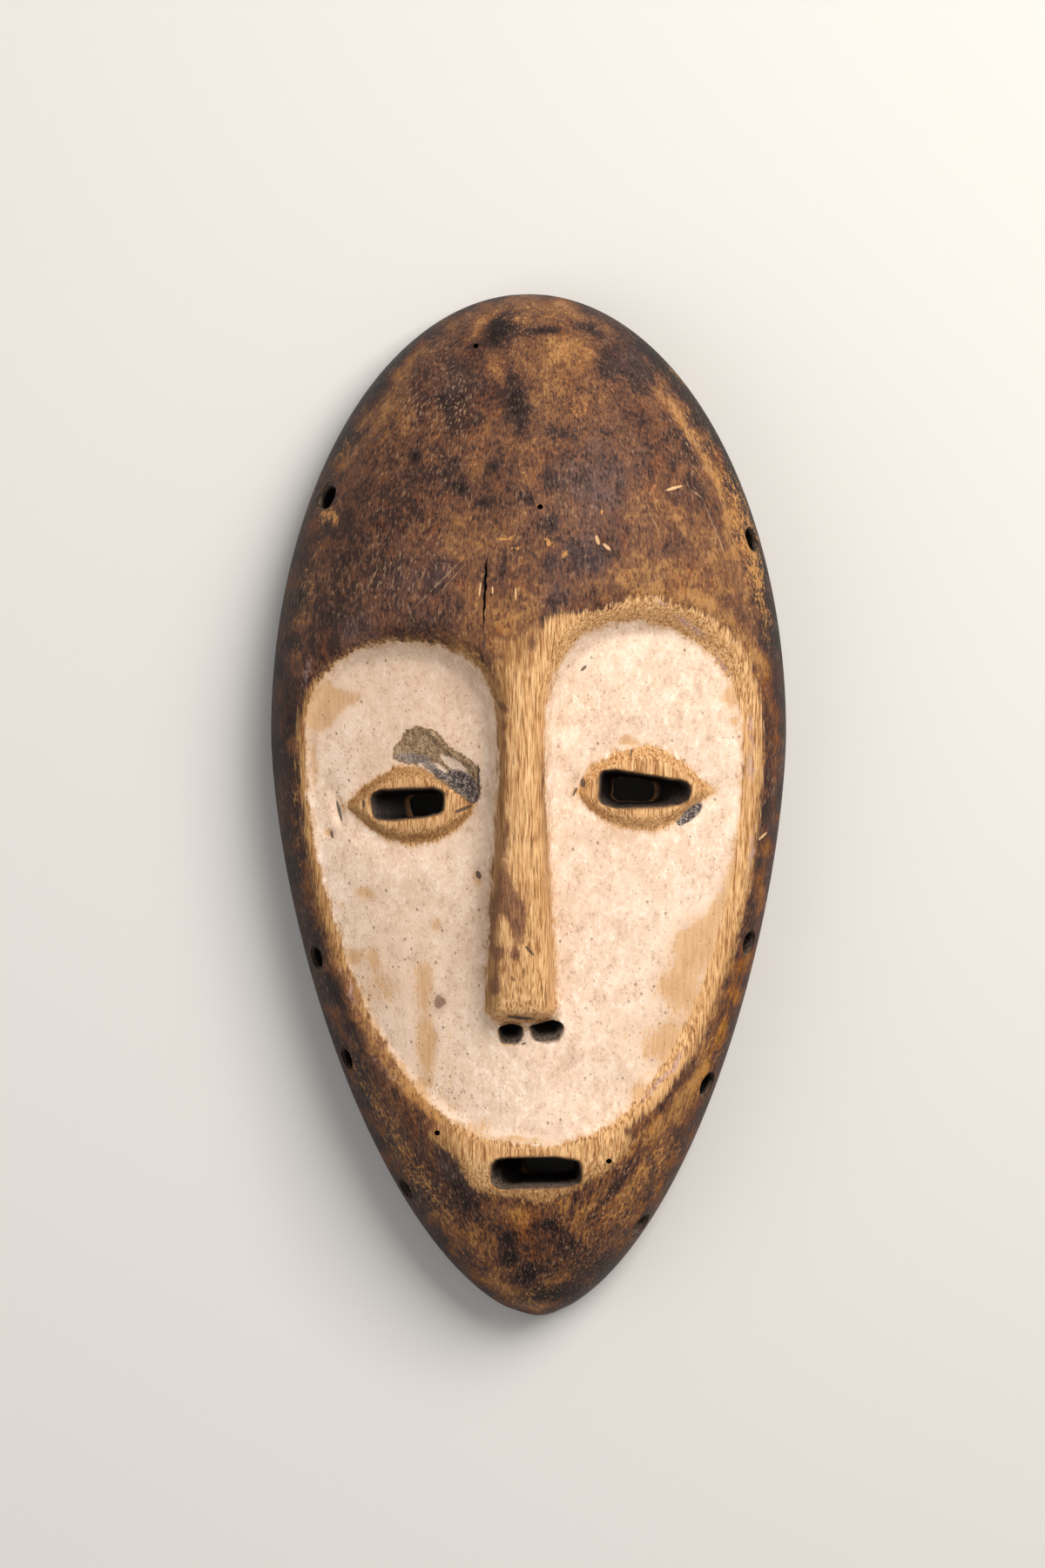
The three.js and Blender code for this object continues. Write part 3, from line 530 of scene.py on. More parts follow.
class Carving:
    """The mask's form in millimetres as formulas of the place across (x) and along (y) it."""

    def __init__(self, length, width, depth):
        self.length, self.width, self.depth = length, width, depth
        self.widest = WIDEST_LEVEL * length
        self.nose_tip = NOSE_TIP_LEVEL * length
        self.face_half_width = width / 2 - FACE_MARGIN
        self.edge = self.face_edge()

    def reach(self, y, length):
        """Distance from the widest level, as a share of the way to the crown or to the chin."""
        end = np.where(y > self.widest, length / 2 - self.widest, length / 2 + self.widest)
        return np.minimum(1, np.abs(y - self.widest) / end)

    def half_width(self, y, less=0.0):
        """Half the egg-shaped outline's width: (1 - reach^a)^b times half the full width."""
        r = self.reach(y, self.length - 2 * less)
        crown = (1 - r ** CROWN_WIDTH_POWERS[0]) ** CROWN_WIDTH_POWERS[1]
        chin = (1 - r ** CHIN_WIDTH_POWERS[0]) ** CHIN_WIDTH_POWERS[1]
        return (self.width / 2 - less) * np.where(y > self.widest, crown, chin)

    def middle(self, y):
        """The line that the sections are centred on, which leans to the right at the chin."""
        r = self.reach(y, self.length)
        return np.where(y > self.widest, 0, CHIN_LEAN * self.width * r ** LEAN_POWER)

    def dome(self, x, y):
        """The uncut block: a crest that falls to both ends as sqrt(1 - reach^p), an arch across it
        as sqrt(1 - across^q), and a faint keel along the middle."""
        r = self.reach(y, self.length)
        crest = np.sqrt(1 - r ** np.where(y > self.widest, CROWN_CREST_POWER, CHIN_CREST_POWER))
        out = np.abs(x - self.middle(y))
        across = np.minimum(1, out / np.maximum(self.half_width(y), 1e-6))
        keel = KEEL_HEIGHT * bell(out, 0, KEEL_WIDTH * self.width) * np.sqrt(1 - r)
        rise = (self.depth - BACK_EDGE_HEIGHT - KEEL_HEIGHT) * crest * np.sqrt(1 - across**SECTION_POWER)
        return BACK_EDGE_HEIGHT + rise + keel * np.sqrt(1 - across)

    def nose_half_width(self, y):
        """Widens from the bridge to the tip along an S curve."""
        share = s_curve(-y, -self.widest, -self.nose_tip)
        return BRIDGE_HALF_WIDTH + (NOSE_TIP_HALF_WIDTH - BRIDGE_HALF_WIDTH) * share

    def face_edge(self):
        """The cut face's edge as a closed line of [x, y, width of the slope inwards]: the jaw and
        the two brow arches are superellipses, joined by an inlet round the straight nose."""
        steps = np.arange(1, 2 * ARC_STEPS) / ARC_STEPS * math.pi / 2
        down = np.sin(steps)
        out = self.face_half_width * (1 - down ** JAW_POWERS[0]) ** JAW_POWERS[1]
        jaw_drop = self.widest - FACE_END_LEVEL * self.length
        slope = CHEEK_SLOPE + (CHIN_SLOPE - CHEEK_SLOPE) * down**3
        jaw = np.stack([np.sign(np.cos(steps)) * out, self.widest - jaw_drop * down, slope], 1)

        def arch(start, stop, rise):
            angle = math.pi * (1 - np.arange(ARC_STEPS + 1) / ARC_STEPS)
            c, s = np.cos(angle), np.abs(np.sin(angle))
            to_nose = (c > 0) == (start < 0)
            power = 2 / np.where(to_nose, ARCH_POWERS[1], ARCH_POWERS[0])
            x = (start + stop) / 2 + (stop - start) / 2 * np.sign(c) * np.abs(c) ** power
            foot = np.where(to_nose, BRIDGE_FLANK, CHEEK_SLOPE)
            return np.stack([x, self.widest + rise * s**power, foot + (BROW_SLOPE - foot) * s], 1)

        def flank(side):
            share = np.arange(1, ARC_STEPS + 1) / ARC_STEPS
            y = self.widest + (self.nose_tip + NOSE_CORNER - self.widest) * share
            slope = BRIDGE_FLANK + (NOSE_FLANK - BRIDGE_FLANK) * s_curve(share, 0, 0.5)
            return np.stack([NOSE_OFFSET - self.middle(y) + side * self.nose_half_width(y), y, slope], 1)

        def corner(side, start):
            angle = start + np.arange(1, CORNER_STEPS + 1) / CORNER_STEPS * math.pi / 2
            x = NOSE_OFFSET + side * (NOSE_TIP_HALF_WIDTH - NOSE_CORNER) + NOSE_CORNER * np.cos(angle)
            y = self.nose_tip + NOSE_CORNER * (1 + np.sin(angle))
            return np.stack([x - self.middle(y), y, np.full(CORNER_STEPS, NOSE_END_SLOPE)], 1)

        edge = np.concatenate([
            jaw,
            arch(-self.face_half_width, NOSE_OFFSET - BRIDGE_HALF_WIDTH, BROW_RISES[-1]),
            flank(-1),
            corner(-1, math.pi),
            corner(1, 1.5 * math.pi),
            flank(1)[::-1],
            arch(NOSE_OFFSET + BRIDGE_HALF_WIDTH, self.face_half_width, BROW_RISES[1]),
        ])
        edge[:, 0] += self.middle(edge[:, 1])
        return edge

    def face_level(self, x, y):
        """The cut face before its slopes: highest along its middle, falling as across squared."""
        across = (x - self.middle(y)) / np.maximum(self.half_width(y), 1e-6)
        return self.depth - FACE_SINK + FACE_TILT * y - FACE_FALL * across * across

    def inside_lid(self, side, x, y):
        """Distance inside a lid's almond, which is round towards the nose and pointed outwards."""
        eye = EYES[side]
        along = side * (x - eye["place"][0]) / eye["lid"]
        opening = np.maximum(0, 1 - along * along) ** np.where(along > 0, LID_POWERS[0], LID_POWERS[1])
        up = y - eye["place"][1]
        reach_up = np.where(up > 0, eye["rise"], eye["drop"]) * opening - np.abs(up)
        return np.minimum(reach_up, (1 - np.abs(along)) * eye["lid"])

    def relief(self, x, y):
        """Marks of the hand on the front: low waves, the broken clay, dents and chips."""
        waves = sum(high * wander(x, y, name) for name, high in FRONT_WAVES.items())
        waves = waves * s_curve(self.half_width(y) - np.abs(x - self.middle(y)), 0, 5)
        ragged = depth_within(LOSS_EDGE, x, y) + 0.5 * wander(x, y, "break's edge")
        rough = 0.7 + 0.3 * wander(x, y, "break's floor")
        broken = LOSS_DEPTH * s_curve(ragged, -0.2, 0.9) * rough
        ridge = LOSS_RIDGE * bell(ragged, 1.4, 0.8) * s_curve(y - 0.9 * (-18 - x), 3, 12)
        return waves - broken + ridge - patches(x, y, DENTS)

    def front(self, x, y):
        """The carved front: the dome, worn along the face's edge, cut down to the face inside the
        edge by an S-shaped slope, with the lids raised and a trough round each eye."""
        inside, slope = depth_inside(self.edge, x, y)
        worn = WORN_DROP * (1 - np.clip(-inside / WORN_WIDTH, 0, 1)) ** 2
        dome = np.maximum(BACK_EDGE_HEIGHT, self.dome(x, y) - worn)
        eyes = np.zeros(x.shape)
        for side in EYES:
            lid = self.inside_lid(side, x, y)
            eyes += LID_HEIGHT * s_curve(lid, -LID_FOOT, LID_SLOPE)
            eyes -= TROUGH_DEPTH * bell(np.minimum(lid, 0), 0, TROUGH_WIDTH)
        cut = s_curve(inside, -ARRIS_ROUNDING, np.maximum(slope, 0.1))
        height = dome - cut * (np.maximum(0, dome - self.face_level(x, y)) - eyes)
        return np.clip(height + self.relief(x, y), LEAST_HEIGHT, self.depth - TOP_MARGIN)

    def ceiling(self, x, y):
        """The hollow's ceiling, a smaller dome that is deeper behind the forehead."""
        upward = s_curve(y, self.widest, self.widest + BROW_RISES[-1])
        face_depth = self.depth - FACE_SINK - FACE_WALL
        depth = face_depth + (self.depth - BROW_WALL - face_depth) * upward
        half = np.maximum(self.half_width(y, RIM_WIDTH), 1e-6)
        across = np.minimum(1, np.abs(x - self.middle(y)) / half)
        crest = np.sqrt(1 - self.reach(y, self.length - 2 * RIM_WIDTH) ** HOLLOW_CREST_POWER)
        return depth * crest * np.sqrt(1 - across**HOLLOW_SECTION_POWER)


def with_sides(left, x, right, upright, z, y):
    """Sections across at the levels y, with upright points added at both ends of each. Returns
    points as [level, point, xyz]."""
    x = np.concatenate([left, x, right], 1)
    z = np.concatenate([np.tile(upright, (len(y), 1)), z, np.tile(upright[::-1], (len(y), 1))], 1)
    return np.stack([x, np.repeat(y[:, None], x.shape[1], 1), z], 2)


def block_sections(carving):
    """The whole outside as closed sections across: up a rounded back edge, over the front, and
    down again. Columns follow the nose and then fan out to the outline; levels lie closer
    together towards both ends."""
    t = np.linspace(-1, 1, ROWS)
    spread = (1 - ROW_CROWDING) * t + ROW_CROWDING * np.sin(t * math.pi / 2)
    y = spread * (carving.length / 2 - TIP_GAP)
    edge = carving.half_width(y)
    middle = carving.middle(y)
    foot = np.minimum(carving.nose_half_width(y), edge / 8) * NOSE_BAND
    at_nose = np.minimum(1, 2 * edge / carving.face_half_width)
    nose_line = middle * (1 - at_nose) + NOSE_OFFSET * at_nose
    share = np.arange(1, SIDE_COLUMNS + 1) / SIDE_COLUMNS
    fan = (1 - SIDE_CROWDING) * share + SIDE_CROWDING * np.sin(share * math.pi / 2)
    sides = {}
    for side in (-1, 1):
        start = (nose_line + side * foot)[:, None]
        sides[side] = start + (middle[:, None] + side * edge[:, None] - start) * fan
    nose = nose_line[:, None] + foot[:, None] * np.linspace(-1, 1, NOSE_COLUMNS)
    x = np.concatenate([sides[-1][:, ::-1][:, 1:], nose, sides[1][:, :-1]], 1)
    levels = np.repeat(y[:, None], x.shape[1], 1)
    z = carving.front(x, levels)
    turn = np.linspace(0, math.pi / 2, BACK_EDGE_STEPS)
    inset = np.minimum(BACK_EDGE_ROUNDING, 0.4 * edge)[:, None] * (1 - np.sin(turn))
    rise = BACK_EDGE_ROUNDING * (1 - np.cos(turn))
    upright = np.concatenate([rise, BACK_BAND_LEVELS])
    inset = np.concatenate([inset, np.zeros((ROWS, len(BACK_BAND_LEVELS)))], 1)
    bands = {side: (middle + side * edge)[:, None] - side * inset for side in (-1, 1)}
    return with_sides(bands[-1], x, bands[1][:, ::-1], upright, z, y)


def hollow_sections(carving):
    """The hollow as closed sections across that reach below the back: a flared mouth and the
    ceiling, scooped by the gouge."""
    t = np.linspace(-math.pi / 2, math.pi / 2, HOLLOW_ROWS)
    y = (carving.length / 2 - RIM_WIDTH - TIP_GAP) * np.sin(t)
    edge = carving.half_width(y, RIM_WIDTH)
    middle = carving.middle(y)
    across = np.sin(np.linspace(-1, 1, HOLLOW_COLUMNS) * math.pi / 2 * HOLLOW_FAN)
    x = middle[:, None] + edge[:, None] * across
    levels = np.repeat(y[:, None], HOLLOW_COLUMNS, 1)
    scoops = gouge_marks(x, levels, *SCOOP_SIZE, SCOOP_SEED) - 0.55 + 0.5 * wander(x, levels, "hollow")
    fade = s_curve(edge[:, None] * (1 - np.abs(across)), 0, 9)
    z = np.maximum(carving.ceiling(x, levels), LEAST_CEILING) + SCOOP_DEPTH * scoops * fade
    flare, mouth = np.array(HOLLOW_MOUTH).T
    left = middle[:, None] - edge[:, None] - flare
    right = middle[:, None] + edge[:, None] + flare[::-1]
    return with_sides(left, x, right, mouth, z, y)


def slot_ring(place, half, turn, taper, droop, grow, seed):
    """One outline of a slot: a superellipse whose half height changes along it by taper, bent by
    droop times its length squared, turned, grown all round and slightly uneven."""
    angle = (np.arange(RING_POINTS) + 0.5) / RING_POINTS * 2 * math.pi
    c, s = np.cos(angle), np.sin(angle)
    along = np.sign(c) * np.abs(c) ** (2 / SLOT_POWER)
    up = np.sign(s) * np.abs(s) ** (2 / SLOT_POWER)
    uneven = sum(high * np.sin(count * angle + shift * seed) for high, count, shift in SLOT_WAVES)
    x = (half[0] + grow) * along + uneven * c
    y = (half[1] * (1 + taper * along) + grow) * up + droop * (0.5 - along * along) + uneven * s
    cs, sn = math.cos(math.radians(turn)), math.sin(math.radians(turn))
    return place[0] + x * cs - y * sn, place[1] + x * sn + y * cs


def slot_sections(carving, slot, seed):
    """A slot through the wall as rings from the hollow to above the front: the small inner
    opening, then the outer one, whose lip is rounded by growing outwards."""
    shape = {"turn": slot["turn"], "taper": slot["taper"], "droop": slot["droop"], "seed": seed}
    inner = slot_ring(slot["inner_place"], slot["inner_half"], slot["turn"], 0, 0, 0, seed)
    rings = []
    for grow, lift in SLOT_INNER_RINGS:
        x, y = slot_ring(slot["inner_place"], slot["inner_half"], slot["turn"], 0, 0, grow, seed)
        rings.append((x, y, carving.ceiling(*inner) + lift))
    for grow, lift in SLOT_OUTER_RINGS:
        x, y = slot_ring(slot["place"], slot["half"], grow=grow, **shape)
        rings.append((x, y, carving.front(x, y) + lift))
    rings.append((x, y, np.full(RING_POINTS, carving.depth + SLOT_CLEARANCE)))
    return np.array(rings).transpose(0, 2, 1)


def drill_sections(foot, head, profile, wobble, half=(1.0, 1.0)):
    """A round cutter from foot to head: rings of the profile's [share of the way, radius] around
    the straight line between them, stretched by half, with a waviness of wobble."""
    foot, head = np.array(foot, float), np.array(head, float)
    axis = (head - foot) / np.linalg.norm(head - foot)
    side = np.cross((0, 1, 0), axis)
    side /= np.linalg.norm(side)
    other = np.cross(axis, side)
    angle = np.arange(DRILL_POINTS) / DRILL_POINTS * 2 * math.pi
    uneven = 1 + wobble * (np.sin(2 * angle + 1) + 0.6 * np.sin(5 * angle))
    spoke = (half[0] * np.cos(angle) * uneven)[:, None] * side
    spoke = spoke + (half[1] * np.sin(angle) * uneven)[:, None] * other
    return np.array([foot + (head - foot) * share + radius * spoke for share, radius in profile])


def tie_hole_sections(carving, side, level, inset, lip_width):
    """A tie hole, drilled from just inside the outline down and inwards to the hollow, with its
    lip worn round by the cord."""
    y = np.array(level)
    x = float(carving.middle(y) + side * (carving.half_width(y) - inset))
    slant = math.radians(TIE_HOLE_SLANT)
    narrowing = float(carving.half_width(y + inset) - carving.half_width(y - inset)) / (2 * inset)
    outward = np.array([side, -narrowing, 0.0])
    outward *= math.sin(slant) / np.linalg.norm(outward)
    direction = outward + np.array([0, 0, math.cos(slant)])
    lip = np.array([x, level, float(carving.dome(np.array(x), y))])
    half_way = 2 * RIM_WIDTH
    foot, head = lip - half_way * direction, lip + half_way * direction
    lips = ((share, 1 + (lip_width - 1) * grow) for share, grow in TIE_HOLE_WIDENING)
    profile = [(share, TIE_HOLE_RADIUS * grow) for share, grow in lips]
    return drill_sections(foot, head, profile, TIE_HOLE_WOBBLE)


def nostril_sections(carving, place, half):
    """A nostril, sunk into the face just below the nose and leaning up under its tip."""
    x, y = place
    level = float(carving.face_level(np.array(x), np.array(y)))
    foot = (x, y + NOSTRIL_LEANS[0], level - NOSTRIL_REACH)
    head = (x, y + NOSTRIL_LEANS[1], level + NOSTRIL_REACH)
    return drill_sections(foot, head, NOSTRIL_PROFILE, NOSTRIL_WOBBLE, half)


def worm_hole_sections(carving, place):
    """A beetle's exit hole: a plain narrow bore."""
    level = float(carving.front(np.array(place[0]), np.array(place[1])))
    foot = (place[0] + WORM_HOLE_LEAN, place[1], level - WORM_HOLE_DEPTH)
    head = (place[0], place[1], level + 1.5)
    return drill_sections(foot, head, ((0, WORM_HOLE_RADIUS), (1, WORM_HOLE_RADIUS)), WORM_HOLE_WOBBLE)


def crack_sections(carving):
    """The drying crack: a wedge carried along its line, widest and deepest in its lower half,
    with a slight wander. Each section is a triangle with its point down in the wood."""
    line = np.array(CRACK_LINE)
    share = np.linspace(0, 1, CRACK_STEPS)
    at = share * (len(line) - 1)
    x = np.interp(at, np.arange(len(line)), line[:, 0]) + CRACK_WANDER * np.sin(share * 31)
    y = np.interp(at, np.arange(len(line)), line[:, 1])
    swell = np.maximum(np.sin(share**0.8 * math.pi), 0.04) ** 0.7
    front = carving.front(x, y)
    half = CRACK_WIDTH / 2 * swell * (1 + 0.25 * np.sin(share * 47))
    above = front + 1.0
    return np.stack([
        np.stack([x - half * CRACK_FLARE, y, above], 1),
        np.stack([x, y, front - CRACK_DEPTH * swell], 1),
        np.stack([x + half * CRACK_FLARE, y, above], 1),
    ], 1)


def closed_mesh(name, solids):
    """A mesh of closed solids, each given as rings [ring, point, xyz] in millimetres: quads
    between neighbouring rings and one flat face at each end, all facing outwards."""
    points, faces, start = [], [], 0
    for rings in solids:
        count, size = rings.shape[:2]
        centre = rings.mean((0, 1))
        a, b = rings[:-1] - centre, rings[1:] - centre
        after = np.roll(np.arange(size), -1)
        a_next, b_next = a[:, after], b[:, after]
        volume = np.sum(a * np.cross(a_next, b)) + np.sum(b * np.cross(a_next, b_next))
        if volume < 0:
            rings = rings[::-1]
        n = start + np.arange(count * size).reshape(count, size)
        quads = np.stack([n[:-1], n[:-1][:, after], n[1:][:, after], n[1:]], 2).reshape(-1, 4)
        faces += quads.tolist() + [n[0][::-1].tolist(), n[-1].tolist()]
        points.append(rings.reshape(-1, 3) * MM)
        start += count * size
    mesh = bpy.data.meshes.new(name)
    mesh.from_pydata(np.concatenate(points), [], faces)
    return mesh


def cut_away(piece, name, solids):
    """Cuts closed solids out of a piece and keeps the result as its mesh."""
    cutter = bpy.data.objects.new(name, closed_mesh(name, solids))
    bpy.context.scene.collection.objects.link(cutter)
    cut = piece.modifiers.new(name, "BOOLEAN")
    cut.operation = "DIFFERENCE"
    cut.solver = "MANIFOLD"
    cut.object = cutter
    ready = piece.evaluated_get(bpy.context.evaluated_depsgraph_get())
    result = bpy.data.meshes.new_from_object(ready)
    piece.modifiers.clear()
    uncut, piece.data = piece.data, result
    bpy.data.meshes.remove(uncut)
    spare = cutter.data
    bpy.data.objects.remove(cutter)
    bpy.data.meshes.remove(spare)


def drop_slivers(mesh):
    """Dissolves edges and faces that the cuts left too thin to see, and cuts the rest into
    triangles, so that no many-sided face folds over itself."""
    shape = bmesh.new()
    shape.from_mesh(mesh)
    bmesh.ops.dissolve_degenerate(shape, dist=SLIVER * MM, edges=shape.edges)
    bmesh.ops.triangulate(shape, faces=shape.faces)
    bmesh.ops.dissolve_degenerate(shape, dist=SLIVER * MM, edges=shape.edges)
    shape.to_mesh(mesh)
    shape.free()


def clay_depth(carving, x, y, inside):
    """How far a place lies inside the clay coat: inside the face's edge less a margin that is
    wider on the right and at the brow, and outside both lids."""
    high = s_curve(y, 10, 45)
    right = s_curve(x, 15, 50)
    near_nose = s_curve(np.abs(x - NOSE_OFFSET), 20, 9) * s_curve(y, -62, -56)
    margin = CLAY_MARGIN + CLAY_MARGIN_RIGHT * right + CLAY_MARGIN_BROW * high * right
    margin += CLAY_MARGIN_JAW * s_curve(-x, 15, 50) * s_curve(-y, 0, 40)
    at_nose = CLAY_MARGIN_NOSE + 0.7 * s_curve(-y, -20, 50)
    margin += (at_nose - margin) * near_nose * (1 - 0.7 * high)
    depth = inside - margin
    for side in EYES:
        depth = np.minimum(depth, -carving.inside_lid(side, x, y) - CLAY_LID_GAP)
    return depth


def bare_depth(carving, x, y, inside):
    """How far a place lies inside the bared wood: a band along the face's edge, the nose, the fan
    of wood above it, the wood round the mouth, and the lids."""
    right = s_curve(x, 20, 50)
    brow_right = s_curve(x, 8, 25) * s_curve(y, 30, 45)
    jaw_right = s_curve(x, 5, 25) * s_curve(y, -50, -70)
    left = s_curve(-x, 12, 22)
    band = inside - 0.3 + 0.4 * right + 1.2 * brow_right + 0.6 * jaw_right - 0.9 * left
    band -= 1.2 * left * s_curve(y, 28, 40) + 2.2 * left * s_curve(-y, 15, 45)
    nose = 1.4 * carving.nose_half_width(y) - 0.8 - np.abs(x - NOSE_OFFSET)
    foot, top = NOSE_WOOD_ENDS
    nose = np.minimum(nose, np.minimum(top - y, y - foot))
    bare = np.maximum(band, nose)
    for outline in (BRIDGE_WOOD, MOUTH_WOOD):
        bare = np.maximum(bare, depth_within(outline, x, y))
    for side in EYES:
        bare = np.maximum(bare, carving.inside_lid(side, x, y) + LID_WOOD_MARGIN)
    return bare


def surface_facts(carving, places):
    """What the finish has to know at each vertex, by name: depths in millimetres inside the clay,
    the bared wood and the broken patch, how far it lies inside a cut or the hollow, the place across
    for streaks that run along the outline, and the listed patches."""
    x, y, z = places.T / MM
    inside, _ = depth_inside(carving.edge, x, y)
    below = np.maximum(0, carving.front(x, y) - z)
    half = carving.half_width(y)
    inset = half - np.abs(x - carving.middle(y))
    from_ceiling = np.abs(z - np.maximum(carving.ceiling(x, y), LEAST_CEILING))
    behind = s_curve(from_ceiling, 3.2, 1.8) * np.maximum(s_curve(inset, 1.6, 2.6), s_curve(z, 0.5, 0.2))
    far_x, far_y = unsettled(x, y, 3.0)
    near_x, near_y = unsettled(x, y, 1.0)
    tone = patches(far_x, far_y, BROAD_TONES) + patches(near_x, near_y, SMALL_TONES)
    low_right = s_curve(x, 8, 30) * s_curve(y, -5, -45)
    right = s_curve(x, 10, 40)
    swaying = inside + 0.7 * wander(x, y, "sway") + 0.5 * wander(x, y, "fine sway")
    broken_up = 0.6 + 0.55 * wander(x, y, "gaps")
    bands = {name: high * bell(swaying, *band) for name, (high, *band) in EDGE_BANDS.items()}
    tone += bands["worn jaw"] * low_right * (0.4 + broken_up)
    tone += bands["worn flank"] * right * (1 - low_right) * (0.4 + broken_up)
    tone += bands["dark"] * patches(x, y, STREAK_PATCHES) * broken_up
    tone += bands["low left"] * s_curve(-x, 12, 26) * s_curve(-y, 10, 35)
    # Painted light and shade: the patina is lighter on the right, towards the key light, and darker on the
    # left; it is also darker along the far right edge.
    tone += 0.08 * right - 0.04 * s_curve(-x, 10, 50) - 0.16 * s_curve(x, 60, 67)
    tone += 0.2 * wander(x, y, "rim") * s_curve(inset, 12, 5)
    # Browning along the left part of the face's edge and on the lids, stronger on the left lid: partly real,
    # partly painted shade on the side away from the light. The right brow is kept paler.
    browned_and_shaded_edge = 0.95 * s_curve(-x, 14, 30) * s_curve(inside, 6.5, 3.0)
    browned_and_shaded_edge -= 0.4 * s_curve(x, 6, 20) * s_curve(y, 15, 35)
    for side in EYES:
        lid = carving.inside_lid(side, x, y)
        browned_and_shaded_edge += (0.5 - 0.22 * side) * s_curve(lid, -0.5, 0.5) * s_curve(lid, 4.0, 0.5)
    # The lower wall of each slot, which the light reaches, is kept out of the painted shade by its lit share.
    slots, low_side = np.full(x.shape, 50.0), np.zeros(x.shape)
    for slot in SLOTS.values():
        shape = (slot["place"], slot["half"], slot["turn"], slot["taper"], slot["droop"])
        away = -depth_within(zip(*slot_ring(*shape, 0, 0)), x, y)
        low_side = np.where(away < slots, slot["lit"] * s_curve(slot["place"][1] - y, 0.3, 2.2), low_side)
        slots = np.minimum(slots, away)
    for (px, py), (half_x, half_y) in NOSTRILS:
        slots = np.minimum(slots, (np.hypot((x - px) / half_x, (y - py) / half_y) - 1) * half_y)
    return {
        "clay": clay_depth(carving, x, y, inside),
        "bare": bare_depth(carving, x, y, inside),
        "loss": depth_within(LOSS_EDGE, x, y),
        "inner": np.minimum(below, 1.5 * np.maximum(inset, 0)),
        "inset": inset,
        "behind": behind,
        "from_slot": np.minimum(slots, 20),
        "low_side": low_side,
        "run": x / np.maximum(half / carving.width * 2, 0.42) ** 0.8 * MM,
        "tone": tone,
        "haze": patches(far_x, far_y, SHEEN_AND_BLOOM_PATCHES),
        "dust": patches(far_x, far_y, DUST_PATCHES),
        "gloss": patches(near_x, near_y, ARRIS_HIGHLIGHT_PATCHES),
        "gilt": patches(near_x, near_y, GILT_PATCHES),
        "rust": np.maximum(s_curve(-y, 60, 105), 0.7 * low_right * s_curve(-inside, 0, 3)),
        "stain": patches(*unsettled(x, y, 0.5), STAIN_PATCHES),
        # Browning of the bared wood, partly painted shade on the left
        "brown": patches(near_x, near_y, BROWN_AND_SHADE_PATCHES) + browned_and_shaded_edge,
        "wear": patches(*unsettled(x, y, 0.9), WEAR_PATCHES),
        "pits": patches(far_x, far_y, PIT_PATCHES),
        # Painted shade and dirt on the clay, from the dirt-and-shade patches
        "shade": patches(near_x, near_y, DIRT_AND_SHADE_PATCHES),
    }


class Value:
    """A number in the finish that varies over the surface, for sums and products."""

    def __init__(self, recipe, socket):
        self.recipe = recipe
        self.socket = socket

    def __add__(self, other):
        return self.recipe.math("ADD", self, other)

    def __sub__(self, other):
        return self.recipe.math("SUBTRACT", self, other)

    def __mul__(self, other):
        return self.recipe.math("MULTIPLY", self, other)

    __radd__ = __add__
    __rmul__ = __mul__


